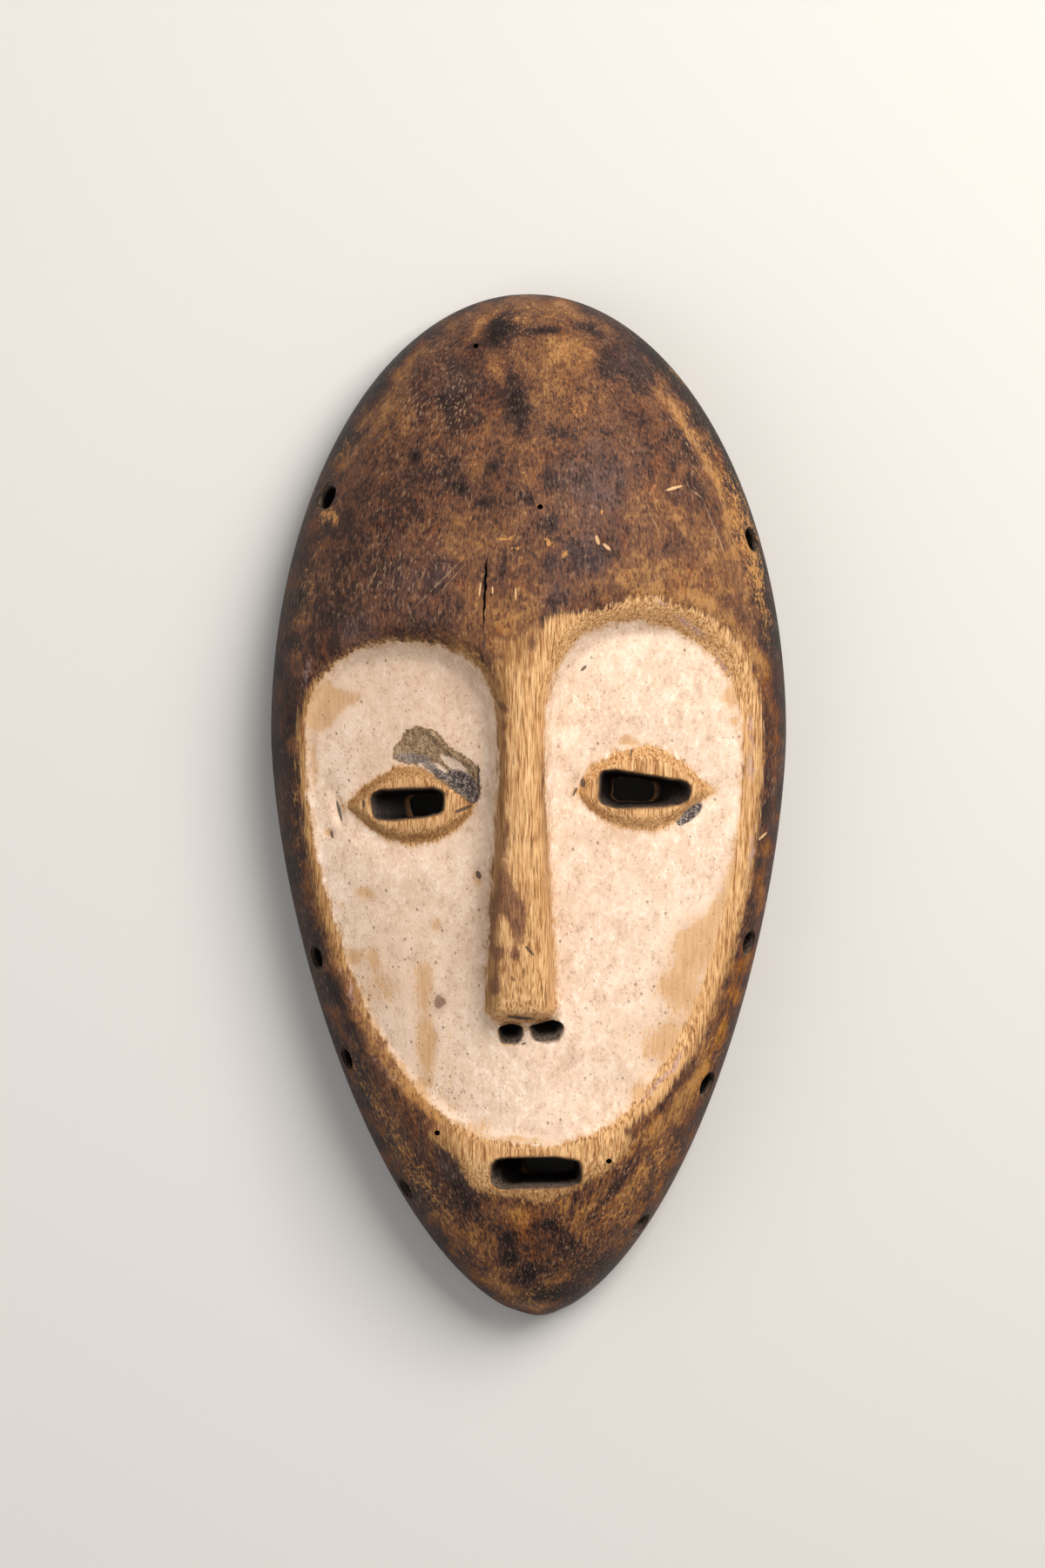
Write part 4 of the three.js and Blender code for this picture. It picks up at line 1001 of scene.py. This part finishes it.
class Recipe:
    """Adds shader nodes to one material and joins them, so that a finish reads as steps."""

    def __init__(self, material):
        self.tree = material.node_tree
        self.tree.nodes.clear()

    def feed(self, socket, value):
        if isinstance(value, Value):
            value = value.socket
        if isinstance(value, bpy.types.NodeSocket):
            self.tree.links.new(value, socket)
        elif isinstance(value, tuple) and len(value) == 3 and socket.type == "RGBA":
            socket.default_value = (*value, 1)
        else:
            socket.default_value = value

    def add(self, kind, feeds=(), **settings):
        node = self.tree.nodes.new(kind)
        for name, value in settings.items():
            setattr(node, name, value)
        for socket, value in dict(feeds).items():
            self.feed(node.inputs[socket], value)
        return node

    def fact(self, name):
        """A value that the mesh carries at its vertices."""
        return Value(self, self.add("ShaderNodeAttribute", attribute_name=name).outputs["Fac"])

    def math(self, operation, a, b):
        return Value(self, self.add("ShaderNodeMath", {0: a, 1: b}, operation=operation).outputs[0])

    def larger(self, a, b):
        return self.math("MAXIMUM", a, b)

    def step(self, value, low, high):
        """0 at low and 1 at high, with an S curve between them."""
        feeds = {"Value": value, "From Min": low, "From Max": high}
        return Value(self, self.add("ShaderNodeMapRange", feeds, interpolation_type="SMOOTHSTEP").outputs[0])

    def stretched(self, place, scale):
        """Places per millimetre, scaled along each axis."""
        feeds = {0: place, 1: tuple(s / MM for s in scale)}
        return self.add("ShaderNodeVectorMath", feeds, operation="MULTIPLY").outputs[0]

    def noise(self, place, scale, detail=2.0, roughness=0.5, distortion=0.0):
        """Noise about 0, mostly between -1 and 1."""
        feeds = {"Vector": self.stretched(place, scale), "Scale": 1.0, "Detail": detail}
        feeds.update({"Roughness": roughness, "Distortion": distortion})
        return 4.0 * Value(self, self.add("ShaderNodeTexNoise", feeds).outputs["Fac"]) - 2.0

    def dashes(self, place, scale, share, size):
        """Short strokes in a share of the cells of a stretched lattice, 1 in their middles."""
        feeds = {"Vector": self.stretched(place, scale), "Scale": 1.0, "Randomness": 1.0}
        cells = self.add("ShaderNodeTexVoronoi", feeds)
        chosen = self.add("ShaderNodeSeparateColor", {0: cells.outputs["Color"]}).outputs[0]
        return self.math("LESS_THAN", chosen, share) * self.step(cells.outputs["Distance"], size, size * 0.45)

    def blend(self, share, a, b, kind="MIX"):
        return self.add("ShaderNodeMix", {0: share, 6: a, 7: b}, data_type="RGBA", blend_type=kind).outputs[2]

    def ramp(self, value, stops):
        node = self.add("ShaderNodeValToRGB", {0: value})
        points = node.color_ramp.elements
        while len(points) < len(stops):
            points.new(0.5)
        for point, (position, colour) in zip(points, stops):
            point.position = position
            point.color = (*colour, 1)
        return node.outputs[0]

    def marks(self, place, listed):
        """Small ellipses with soft edges, 1 in their middles: place, half sizes and turn each."""
        total = 0.0
        for px, py, half_x, half_y, turn in listed:
            feeds = {
                "Vector": place,
                "Location": (px * MM, py * MM, 0),
                "Rotation": (0, 0, math.radians(turn)),
                "Scale": (half_x * MM, half_y * MM, 1),
            }
            local = self.add("ShaderNodeMapping", feeds, vector_type="TEXTURE").outputs[0]
            far = self.add("ShaderNodeVectorMath", {0: local}, operation="LENGTH").outputs["Value"]
            total = self.larger(total, self.step(far, 1.3, 0.5))
        return total

    def ragged_marks(self, place, listed, rough, low, high):
        """The same with their edges broken up by a rough value."""
        return self.step(self.marks(place, listed) + rough, low, high)


def patina_layer(r, colours, seen):
    """Handled patina: blotches from near black through red-brown to worn tan, grained by the open
    pores, which hold pale dust and run along the outline."""
    rust, inset, small, middling = r.fact("rust"), r.fact("inset"), seen.small, seen.middling
    tone = r.fact("tone") + 0.3 * seen.mottle + 0.16 * small + 0.14 * seen.dash + 0.08 * middling
    tone = tone - 0.34 * r.step(inset, 9.0, 0.0) + 0.505 + seen.streak * (0.32 * rust + 0.03)
    patina = r.ramp(tone, (
        (0.08, colours.patina_black), (0.24, colours.patina_dark), (0.37, colours.patina_dark),
        (0.44, colours.patina_brown), (0.55, colours.patina_brown), (0.61, colours.patina_red),
        (0.71, colours.patina_red), (0.77, colours.patina_tan), (1.0, colours.patina_worn),
    ))
    reddish = r.step(middling - 0.8 * seen.broad, 0.0, 1.3)
    patina = r.blend(0.35 * reddish, patina, colours.patina_rust, "OVERLAY")
    richness = 0.06 * rust + 0.28 * r.step(inset, 9.0, 1.0) + 1.04
    richer = {"Saturation": richness, "Value": 0.1 * rust + 1.0, "Color": patina}
    patina = r.add("ShaderNodeHueSaturation", richer).outputs[0]
    # Painted sheen: a purple-grey reflection painted on the patina, partly a real waxy film
    sheen_bloom = r.fact("haze") * r.step(middling + small, -1.5, 1.2)
    patina = r.blend(0.75 * sheen_bloom, patina, colours.sheen_bloom)
    dusty = 0.45 * r.step(seen.broad + 0.7 * middling, -0.9, 1.2) + 0.55 * r.fact("dust")
    flecks = r.step(seen.fleck + 0.25 * small, 0.3, 0.8) * dusty
    patina = r.blend(0.66 * flecks, patina, colours.fleck)
    gilt = r.step(r.fact("gilt") + 0.45 * small + 0.25 * seen.grit + 0.25 * middling, 0.64, 0.92)
    patina = r.blend(0.8 * gilt, patina, colours.gilt)
    pores = r.step(seen.dash, -0.3, -0.85)
    return r.blend(0.5 * pores, patina, colours.pore), sheen_bloom, pores, r.larger(flecks, gilt)


def bared_layer(r, colours, seen):
    """Bared wood: pale and dark fibres, browned at its borders and in patches, partly as painted shade on its
    left side, with purple-brown stains.
    """
    fibre, strand, middling = seen.fibre, seen.strand, seen.middling
    grain = 0.456 * (fibre + strand) + 0.46
    wood = r.ramp(grain, ((0.05, colours.wood_dark), (0.45, colours.wood), (1.0, colours.wood_light)))
    grooves = r.step(seen.groove + 0.3 * middling, -0.4, -1.0)
    wood = r.blend(0.62 * grooves, wood, colours.wood_groove)
    border = 0.55 * r.step(r.fact("bare") + 0.8 * middling, 3.2, 0.2)
    browned = r.step(r.fact("brown") + border + 0.25 * middling + 0.15 * fibre, 0.2, 1.0)
    brown = r.blend(r.step(grain, 0.2, 0.8), colours.browned_and_shaded_wood, colours.wood_olive)
    wood = r.blend(0.85 * browned, wood, brown)
    stained = r.step(r.fact("stain") + 0.2 * middling + 0.22 * seen.small + 0.14 * strand, 0.42, 0.86)
    stain = r.blend(r.step(strand + seen.small, -0.8, 1.0), colours.stain, colours.stain_light)
    return r.blend(0.86 * stained, wood, stain), grooves


def clay_layer(r, colours, seen, place):
    """Clay coat: dusty and granular, tan where it is thin, with pits and pale grains, and painted shade with
    greyish dirt over parts of it.
    """
    middling, small, grit = seen.middling, seen.small, seen.grit
    shade, pitting = r.fact("shade"), r.fact("pits")
    cover = r.fact("clay") + 0.7 * middling + 0.4 * small + 0.3 * seen.fibre
    coated = r.step(cover, -0.35, 0.45)
    clay = r.blend(r.step(seen.broad + middling, -1.6, 1.4), colours.clay_shade, colours.clay)
    grain = 0.7 * small + 0.4 * grit + 0.6 * middling
    clay = r.blend(0.85 * r.step(grain, 0.0, 0.9), clay, colours.clay_light)
    clay = r.blend(0.85 * r.step(grain, -0.1, -1.0), clay, colours.clay_dirt_and_shade)
    worn = r.step(r.fact("wear") + 0.34 * middling + 0.34 * small + 0.12 * grit, 0.38, 0.95)
    border = 0.6 * r.step(cover + 0.3 * small, 1.6, 0.1)
    patchy = 0.8 * r.step(0.8 * pitting + 0.5 * middling + 0.45 * small, 0.6, 1.3)
    film = r.larger(worn, r.larger(border, patchy))
    tan = r.blend(r.step(seen.fibre, -1.0, 1.2), colours.clay_film, colours.clay_film_light)
    clay = r.blend(0.85 * film, clay, tan)
    # Painted shade and greyish dirt: the clay darkens towards the dirt colour where those patches lie, and
    # the strongest give dark pits.
    clay = r.blend(0.5 * r.math("MINIMUM", shade, 1.5), clay, colours.clay_dirt_and_shade)
    clay = r.blend(0.7 * r.step(shade + 0.2 * small, 1.0, 1.35), clay, colours.clay_pit)
    pits = r.dashes(place, (0.6, 0.46, 0.6), 0.4 * pitting + 0.06, 0.26)
    specks = r.dashes(place, (1.15, 0.9, 1.15), 0.4 * pitting + 0.14, 0.36)
    pitted = r.larger(pits, 0.5 * specks)
    return r.blend(0.55 * pitted, clay, colours.clay_pit), coated, pitted, film


def broken_layer(r, colours, seen, flat_place):
    """The break above the left eye: a rim of brown fibres, a burnished grey smear, specked soot
    and a flake of clay left between them."""
    small, grit = seen.small, seen.grit
    loss = r.fact("loss") + 0.6 * small + 0.5 * seen.middling
    fibres = small + 0.6 * grit + 0.5 * seen.middling
    broken = r.blend(r.step(fibres, -0.7, 0.8), colours.break_brown, colours.break_tan)
    flake = r.ragged_marks(flat_place, FLAKES, 0.3 * small, 0.25, 0.7)
    broken = r.blend(flake, broken, colours.clay)
    smear = r.ragged_marks(flat_place, SMEARS, 0.35 * small, 0.3, 0.8)
    smeared = r.blend(r.step(fibres, -0.4, 1.4), colours.smear, colours.soot_fleck)
    broken = r.blend(0.85 * smear, broken, smeared)
    soot = r.ragged_marks(flat_place, SOOT_MARKS, 0.3 * small, 0.35, 0.75)
    sooty = r.blend(r.step(grit + small, -0.3, 1.0), colours.soot, colours.soot_fleck)
    broken = r.blend(soot, broken, sooty)
    rim = 0.7 * r.step(loss, 1.2, 0.3) * r.step(small, -0.8, 0.6)
    return r.blend(rim, broken, colours.wood_groove), r.step(loss, -0.15, 0.35), sooty


def wood_finish(colours):
    """The mask's finish in layers: handled patina, bared wood, clay, breaks and cut walls."""
    material = bpy.data.materials.new("old_wood_with_clay")
    material.use_nodes = True
    r = Recipe(material)
    place = r.add("ShaderNodeTexCoord").outputs["Object"]
    flat_place = r.add("ShaderNodeVectorMath", {0: place, 1: (1, 1, 0)}, operation="MULTIPLY").outputs[0]
    parts = r.add("ShaderNodeSeparateXYZ", {0: place}).outputs
    flow = r.add("ShaderNodeCombineXYZ", {0: r.fact("run"), 1: parts[1], 2: parts[2]}).outputs[0]
    seen = SimpleNamespace(
        broad=r.noise(place, (0.075, 0.06, 0.075)),
        middling=r.noise(place, (0.3, 0.2, 0.3), 3.0, 0.6, 0.4),
        small=r.noise(place, (1.1, 0.7, 1.1), 3.0, 0.65),
        grit=r.noise(place, (2.6, 2.3, 2.6), 2.0, 0.6),
        mottle=r.noise(place, (0.15, 0.11, 0.15), 8.0, 0.72, 0.9),
        dash=r.noise(flow, (1.7, 0.5, 1.7), 2.0, 0.6, 0.3),
        streak=r.noise(flow, (0.75, 0.08, 0.75), 3.0, 0.65, 0.4),
        fleck=r.noise(flow, (1.6, 0.5, 1.6), 1.0, 0.5, 0.2),
        fibre=r.noise(place, (1.3, 0.06, 1.3), 3.0, 0.65),
        strand=r.noise(place, (3.0, 0.2, 3.0), 1.0),
        groove=r.noise(place, (2.0, 0.13, 2.0), 1.0),
    )
    small, fibre = seen.small, seen.fibre
    patina, sheen_bloom, pores, flecks = patina_layer(r, colours, seen)
    wood, grooves = bared_layer(r, colours, seen)
    clay, coated, pitted, film = clay_layer(r, colours, seen, place)
    broken, lost, sooty = broken_layer(r, colours, seen, flat_place)

    # Patina, with the bared wood's ragged teeth along the fibres, and a painted purple-grey highlight along
    # the face's sharp edge
    bared = r.step(r.fact("bare") + 1.2 * fibre + 0.6 * seen.middling + 0.5 * seen.strand, -0.7, 1.0)
    colour = r.blend(bared, patina, wood)
    arris_highlight = r.step(r.fact("gloss") + 0.35 * small + 0.25 * seen.middling, 0.3, 0.95)
    colour = r.blend(0.62 * arris_highlight, colour, colours.arris_highlight)
    colour = r.blend(coated, colour, clay)
    lip = r.step(r.fact("from_slot") + 0.3 * small, 0.9, 0.1)
    colour = r.blend(0.6 * lip, colour, colours.wood_groove)

    # Breaks, chips and fine marks
    colour = r.blend(lost, colour, broken)
    colour = r.blend(r.ragged_marks(flat_place, CHIPS, 0.3 * small, 0.3, 0.7), colour, sooty)
    # Dark marks in the soot colour: dirt and painted shade in small dents and cracks, and a painted shadow
    # under the nose's end
    dark = r.ragged_marks(flat_place, DARK_AND_SHADOW_MARKS, 0.2 * small, 0.25, 0.8)
    light = r.ragged_marks(flat_place, LIGHT_MARKS, 0.2 * small, 0.25, 0.8)
    colour = r.blend(0.85 * dark, colour, colours.soot)
    colour = r.blend(0.75 * light, colour, colours.wood_light)
    scratched = r.marks(flat_place, SCRATCHES) * r.step(small + seen.grit, -1.0, 0.4)
    colour = r.blend(0.5 * scratched, colour, colours.fleck)

    # Walls of the cuts and the hollow, painted dark as shade deeper in a cut, except on a slot's lit lower
    # wall
    inner = r.fact("inner")
    wall = r.blend(r.step(small + fibre, -1.4, 1.4), colours.wall_dark, colours.wall_grey)
    wall = r.blend(r.step(inner, 1.5, 5.0), wall, colours.deep_wall_shade)
    low_wall = r.blend(r.step(small, -1.0, 0.6), colours.wall_dark, colours.wall_grey)
    wall = r.blend(r.fact("low_side") * r.step(inner, 9.0, 5.0), wall, low_wall)
    hollow = r.blend(r.step(seen.broad + fibre + small, -2.0, 2.0), colours.hollow_dark, colours.hollow)
    behind = r.step(r.fact("behind"), 0.8, 0.98)
    wall = r.blend(behind, wall, hollow)
    colour = r.blend(r.larger(r.step(inner, 0.25, 1.1), behind), colour, wall)

    # Relief in millimetres, and gloss
    clay_relief = 0.03 * seen.grit + 0.03 * small - 0.2 * pitted - 0.08 * film + 0.12
    wood_relief = 0.05 * fibre - 0.12 * grooves - 0.1 * pores + 0.06 * flecks
    wood_relief = wood_relief + 0.04 * small + 0.06 * seen.mottle
    relief = Value(r, r.add("ShaderNodeMix", {0: coated, 2: wood_relief, 3: clay_relief}).outputs[0])
    relief = relief - 0.3 * dark + 0.14 * lost * (small + seen.grit)
    bump = r.add("ShaderNodeBump", {"Height": relief, "Distance": MM, "Strength": 1.0})
    roughness = 0.08 * bared + 0.3 * coated + 0.04 * small - 0.14 * r.larger(sheen_bloom, arris_highlight) + 0.5
    feeds = {"Base Color": colour, "Roughness": roughness, "Normal": bump.outputs[0]}
    shader = r.add("ShaderNodeBsdfPrincipled", {**feeds, "Specular IOR Level": SPECULAR})
    r.add("ShaderNodeOutputMaterial", {0: shader.outputs[0]})
    return material


def colour_setting(name, description, steps):
    return bpy.props.FloatVectorProperty(
        name=name, description=description, subtype="COLOR", size=3, min=0.0, max=1.0, default=srgb(*steps),
    )


def number_setting(name, description, value, least=0.0, unit="NONE"):
    return bpy.props.FloatProperty(name=name, description=description, default=value, min=least, unit=unit)


class MaskForm(bpy.types.PropertyGroup):
    """Sizes of the carved shell."""

    length: number_setting("Length", "From the chin to the crown", round(CAD_SIZE.y, 4), 0.1, "LENGTH")
    width: number_setting("Width", "Across the widest level", round(CAD_SIZE.x, 4), 0.05, "LENGTH")
    depth: number_setting("Depth", "From the back edge to the top of the brow", 0.056, 0.03, "LENGTH")


class MaskColours(bpy.types.PropertyGroup):
    """Colours of the patina, the wood and the clay."""

    patina_black: colour_setting("Blackest patina", "Soot-black blotches of the patina", (30, 21, 19))
    patina_dark: colour_setting("Dark patina", "Dark cool brown of the patina", (60, 42, 37))
    patina_brown: colour_setting("Brown patina", "Most of the handled wood", (96, 65, 50))
    patina_red: colour_setting("Red patina", "Thinner, redder patina", (122, 84, 58))
    patina_tan: colour_setting("Tan patina", "Patina worn thin", (146, 106, 68))
    patina_worn: colour_setting("Worn patina", "Almost bare tan", (172, 128, 84))
    patina_rust: colour_setting("Rust in the patina", "Tint of its redder parts", (168, 112, 70))
    # Purple-grey of the painted sheen, partly a real waxy film
    sheen_bloom: colour_setting("Bloom", "Purple-grey bloom on the forehead", (104, 84, 82))
    fleck: colour_setting("Flecks", "Pale dust in the pores", (200, 164, 128))
    pore: colour_setting("Pores", "Dark strokes of the open pores", (30, 20, 18))
    wood: colour_setting("Bared wood", "Ochre wood of the nose and the edges", (206, 158, 106))
    wood_light: colour_setting("Light fibres", "Palest fibres of the bared wood", (240, 198, 146))
    wood_dark: colour_setting("Dark fibres", "Darkest fibres of the bared wood", (150, 100, 58))
    wood_groove: colour_setting("Grooves", "Dark lines between the fibres", (98, 64, 38))
    # Browned wood, also used for the painted shade on the left of the bared wood
    browned_and_shaded_wood: colour_setting("Browned wood", "Bared wood that has darkened", (134, 90, 52))
    wood_olive: colour_setting("Olive wood", "Paler fibres of the darkened wood", (176, 134, 84))
    stain: colour_setting("Stains", "Purple-brown stains on the nose", (92, 60, 50))
    stain_light: colour_setting("Light stains", "Thinner parts of the stains", (140, 94, 64))
    gilt: colour_setting("Golden spots", "Small spots worn to bright wood", (200, 144, 82))
    # Purple-grey of the painted highlight along the face's edge
    arris_highlight: colour_setting("Polished arris", "Purple-grey gloss along the face's edge", (184, 154, 154))
    clay: colour_setting("Clay", "The clay coat", (236, 209, 185))
    clay_light: colour_setting("Light clay", "Palest grains of the clay", (251, 233, 214))
    clay_shade: colour_setting("Greyer clay", "Clay that is dusty", (222, 193, 167))
    clay_film: colour_setting("Clay film", "Tan film where the clay is worn", (190, 144, 96))
    clay_film_light: colour_setting("Light clay film", "Paler streaks of that film", (218, 174, 124))
    # Greyish dirt and dark grains of the clay, and also the colour of its painted shade
    clay_dirt_and_shade: colour_setting("Dirt on clay", "Greyish dirt on the clay", (190, 158, 133))
    clay_pit: colour_setting("Clay pits", "Dark pits in the clay", (112, 82, 66))
    break_tan: colour_setting("Break", "Bared fibres above the left eye", (196, 168, 134))
    break_brown: colour_setting("Dark break", "Darker fibres above the left eye", (128, 102, 76))
    smear: colour_setting("Smear", "Burnished blue-grey of the break", (118, 106, 104))
    # Also the colour of the painted shade in small dents and under the nose's end
    soot: colour_setting("Soot", "Blackened places", (72, 64, 63))
    soot_fleck: colour_setting("Flecks in soot", "Clay grains in the blackened places", (186, 168, 156))
    wall_grey: colour_setting("Cut walls", "Grey-brown walls of slots and holes", (128, 110, 96))
    # Painted shade deep in slots and holes
    deep_wall_shade: colour_setting("Deep cut walls", "Soot-dark depths of slots and holes", (22, 17, 15))
    wall_dark: colour_setting("Dark cut walls", "Dark parts of those walls", (40, 31, 27))
    hollow: colour_setting("Hollow", "Raw wood of the back", (150, 108, 72))
    hollow_dark: colour_setting("Darker hollow", "Browned wood of the back", (92, 62, 42))


class MaskStage(bpy.types.PropertyGroup):
    """The floor, the light and the camera."""

    floor_colour: colour_setting("Floor", "The plain floor under the mask", (214, 212, 208))
    key_power: number_setting("Key light", "Power of the light from the upper right", 20.5, unit="POWER")
    fill_power: number_setting("Fill light", "Power of the light from the left", 3.5, unit="POWER")
    sky_strength: number_setting("Surroundings", "Brightness of the light from all round", 0.3)
    camera_height: number_setting("Camera height", "Camera above the floor", 1.3, 0.3, "LENGTH")
    lens: number_setting("Lens", "Focal length of the camera, in millimetres", 108.3, 10.0)


class CarveMask(bpy.types.Operator):
    """Carve the mask from one block of wood, hollow it, cut its openings and finish its surface"""

    bl_idname = "mask.carve"
    bl_label = "Carved mask"

    def execute(self, context):
        form = context.scene.mask_form
        chosen = context.scene.mask_colours
        names = MaskColours.__annotations__
        colours = SimpleNamespace(**{name: tuple(getattr(chosen, name)) for name in names})
        carving = Carving(form.length / MM, form.width / MM, form.depth / MM)
        mesh = closed_mesh("carved_wood_mask", [block_sections(carving)])
        piece = bpy.data.objects.new("carved_wood_mask", mesh)
        context.scene.collection.objects.link(piece)
        cut_away(piece, "hollow", [hollow_sections(carving)])
        openings = [slot_sections(carving, slot, seed) for seed, slot in enumerate(SLOTS.values())]
        openings += [nostril_sections(carving, place, half) for place, half in NOSTRILS]
        for side, holes in TIE_HOLES.items():
            openings += [tie_hole_sections(carving, side, *hole) for hole in holes]
        openings += [worm_hole_sections(carving, place) for place in WORM_HOLES]
        openings.append(crack_sections(carving))
        cut_away(piece, "openings", openings)
        drop_slivers(piece.data)
        self.note_facts(piece.data, carving)
        piece.data.polygons.foreach_set("use_smooth", np.ones(len(piece.data.polygons), bool))
        piece.data.set_sharp_from_angle(angle=math.radians(SHARP_ANGLE))
        piece.data.materials.clear()
        piece.data.materials.append(wood_finish(colours))
        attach(piece, "root")
        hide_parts(CAD_NODE)
        return {"FINISHED"}

    def note_facts(self, mesh, carving):
        """Writes what the finish reads onto the mesh's vertices."""
        if not len(mesh.vertices):
            raise RuntimeError("the cuts left no wood")
        places = np.empty(len(mesh.vertices) * 3)
        mesh.vertices.foreach_get("co", places)
        for name, values in surface_facts(carving, places.reshape(-1, 3)).items():
            noted = mesh.attributes.new(name, "FLOAT", "POINT")
            noted.data.foreach_set("value", values.astype(np.float32))


class SetStage(bpy.types.Operator):
    """Lay the pale floor, hang the soft lights and set the camera over the mask"""

    bl_idname = "mask.stage"
    bl_label = "Floor, light and camera"

    def execute(self, context):
        stage = context.scene.mask_stage
        self.lay_floor(context, tuple(stage.floor_colour))
        for name, facts in LIGHTS.items():
            self.hang_light(context, name, getattr(stage, name + "_power"), **facts)
        world = bpy.data.worlds.new("plain_surroundings")
        world.use_nodes = True
        background = world.node_tree.nodes["Background"]
        background.inputs["Color"].default_value = (*SKY_COLOUR, 1)
        background.inputs["Strength"].default_value = stage.sky_strength
        context.scene.world = world
        context.scene.view_settings.view_transform = "Standard"
        camera = bpy.data.objects.new("camera", bpy.data.cameras.new("camera"))
        camera.location = (*CAMERA_PLACE, stage.camera_height)
        camera.data.sensor_fit = "VERTICAL"
        camera.data.sensor_height = SENSOR_HEIGHT
        camera.data.lens = stage.lens
        context.scene.collection.objects.link(camera)
        context.scene.camera = camera
        return {"FINISHED"}

    def lay_floor(self, context, colour):
        """A flat square far larger than the view, just under the mask's back edge."""
        half, level = FLOOR_HALF_WIDTH, -FLOOR_DROP
        corners = [(-half, -half, level), (half, -half, level), (half, half, level), (-half, half, level)]
        mesh = bpy.data.meshes.new("floor")
        mesh.from_pydata(corners, [], [(0, 1, 2, 3)])
        material = bpy.data.materials.new("plain_floor")
        material.use_nodes = True
        shader = material.node_tree.nodes["Principled BSDF"]
        shader.inputs["Base Color"].default_value = (*colour, 1)
        shader.inputs["Roughness"].default_value = FLOOR_ROUGHNESS
        mesh.materials.append(material)
        floor = bpy.data.objects.new("floor", mesh)
        context.scene.collection.objects.link(floor)

    def hang_light(self, context, name, power, place, size, colour):
        """A square soft light that points at the middle of the mask."""
        light = bpy.data.lights.new(name, "AREA")
        light.shape = "SQUARE"
        light.size = size
        light.energy = power
        light.color = colour
        lamp = bpy.data.objects.new(name, light)
        lamp.location = place
        target = (CAD_BOX[0] + CAD_BOX[1]) / 2
        lamp.rotation_euler = (lamp.location - target).to_track_quat("Z", "Y").to_euler()
        context.scene.collection.objects.link(lamp)


class MaskPanel(bpy.types.Panel):
    """Sizes, colours and steps of the carved mask."""

    bl_idname = "VIEW3D_PT_carved_mask"
    bl_label = "Carved face mask"
    bl_space_type = "VIEW_3D"
    bl_region_type = "UI"
    bl_category = "Mask"

    def draw(self, context):
        for group, operator in (("mask_form", CarveMask), ("mask_colours", None), ("mask_stage", SetStage)):
            settings = getattr(context.scene, group)
            box = self.layout.box()
            for name in type(settings).__annotations__:
                box.prop(settings, name)
            if operator:
                box.operator(operator.bl_idname)


GROUPS = {"mask_form": MaskForm, "mask_colours": MaskColours, "mask_stage": MaskStage}
CLASSES = (*GROUPS.values(), CarveMask, SetStage, MaskPanel)


def register():
    for part in CLASSES:
        bpy.utils.register_class(part)
    for name, group in GROUPS.items():
        setattr(bpy.types.Scene, name, bpy.props.PointerProperty(type=group))


def unregister():
    for name in GROUPS:
        delattr(bpy.types.Scene, name)
    for part in reversed(CLASSES):
        bpy.utils.unregister_class(part)


def main():
    register()
    bpy.ops.mask.stage()
    bpy.ops.mask.carve()


if __name__ == "__main__":
    main()
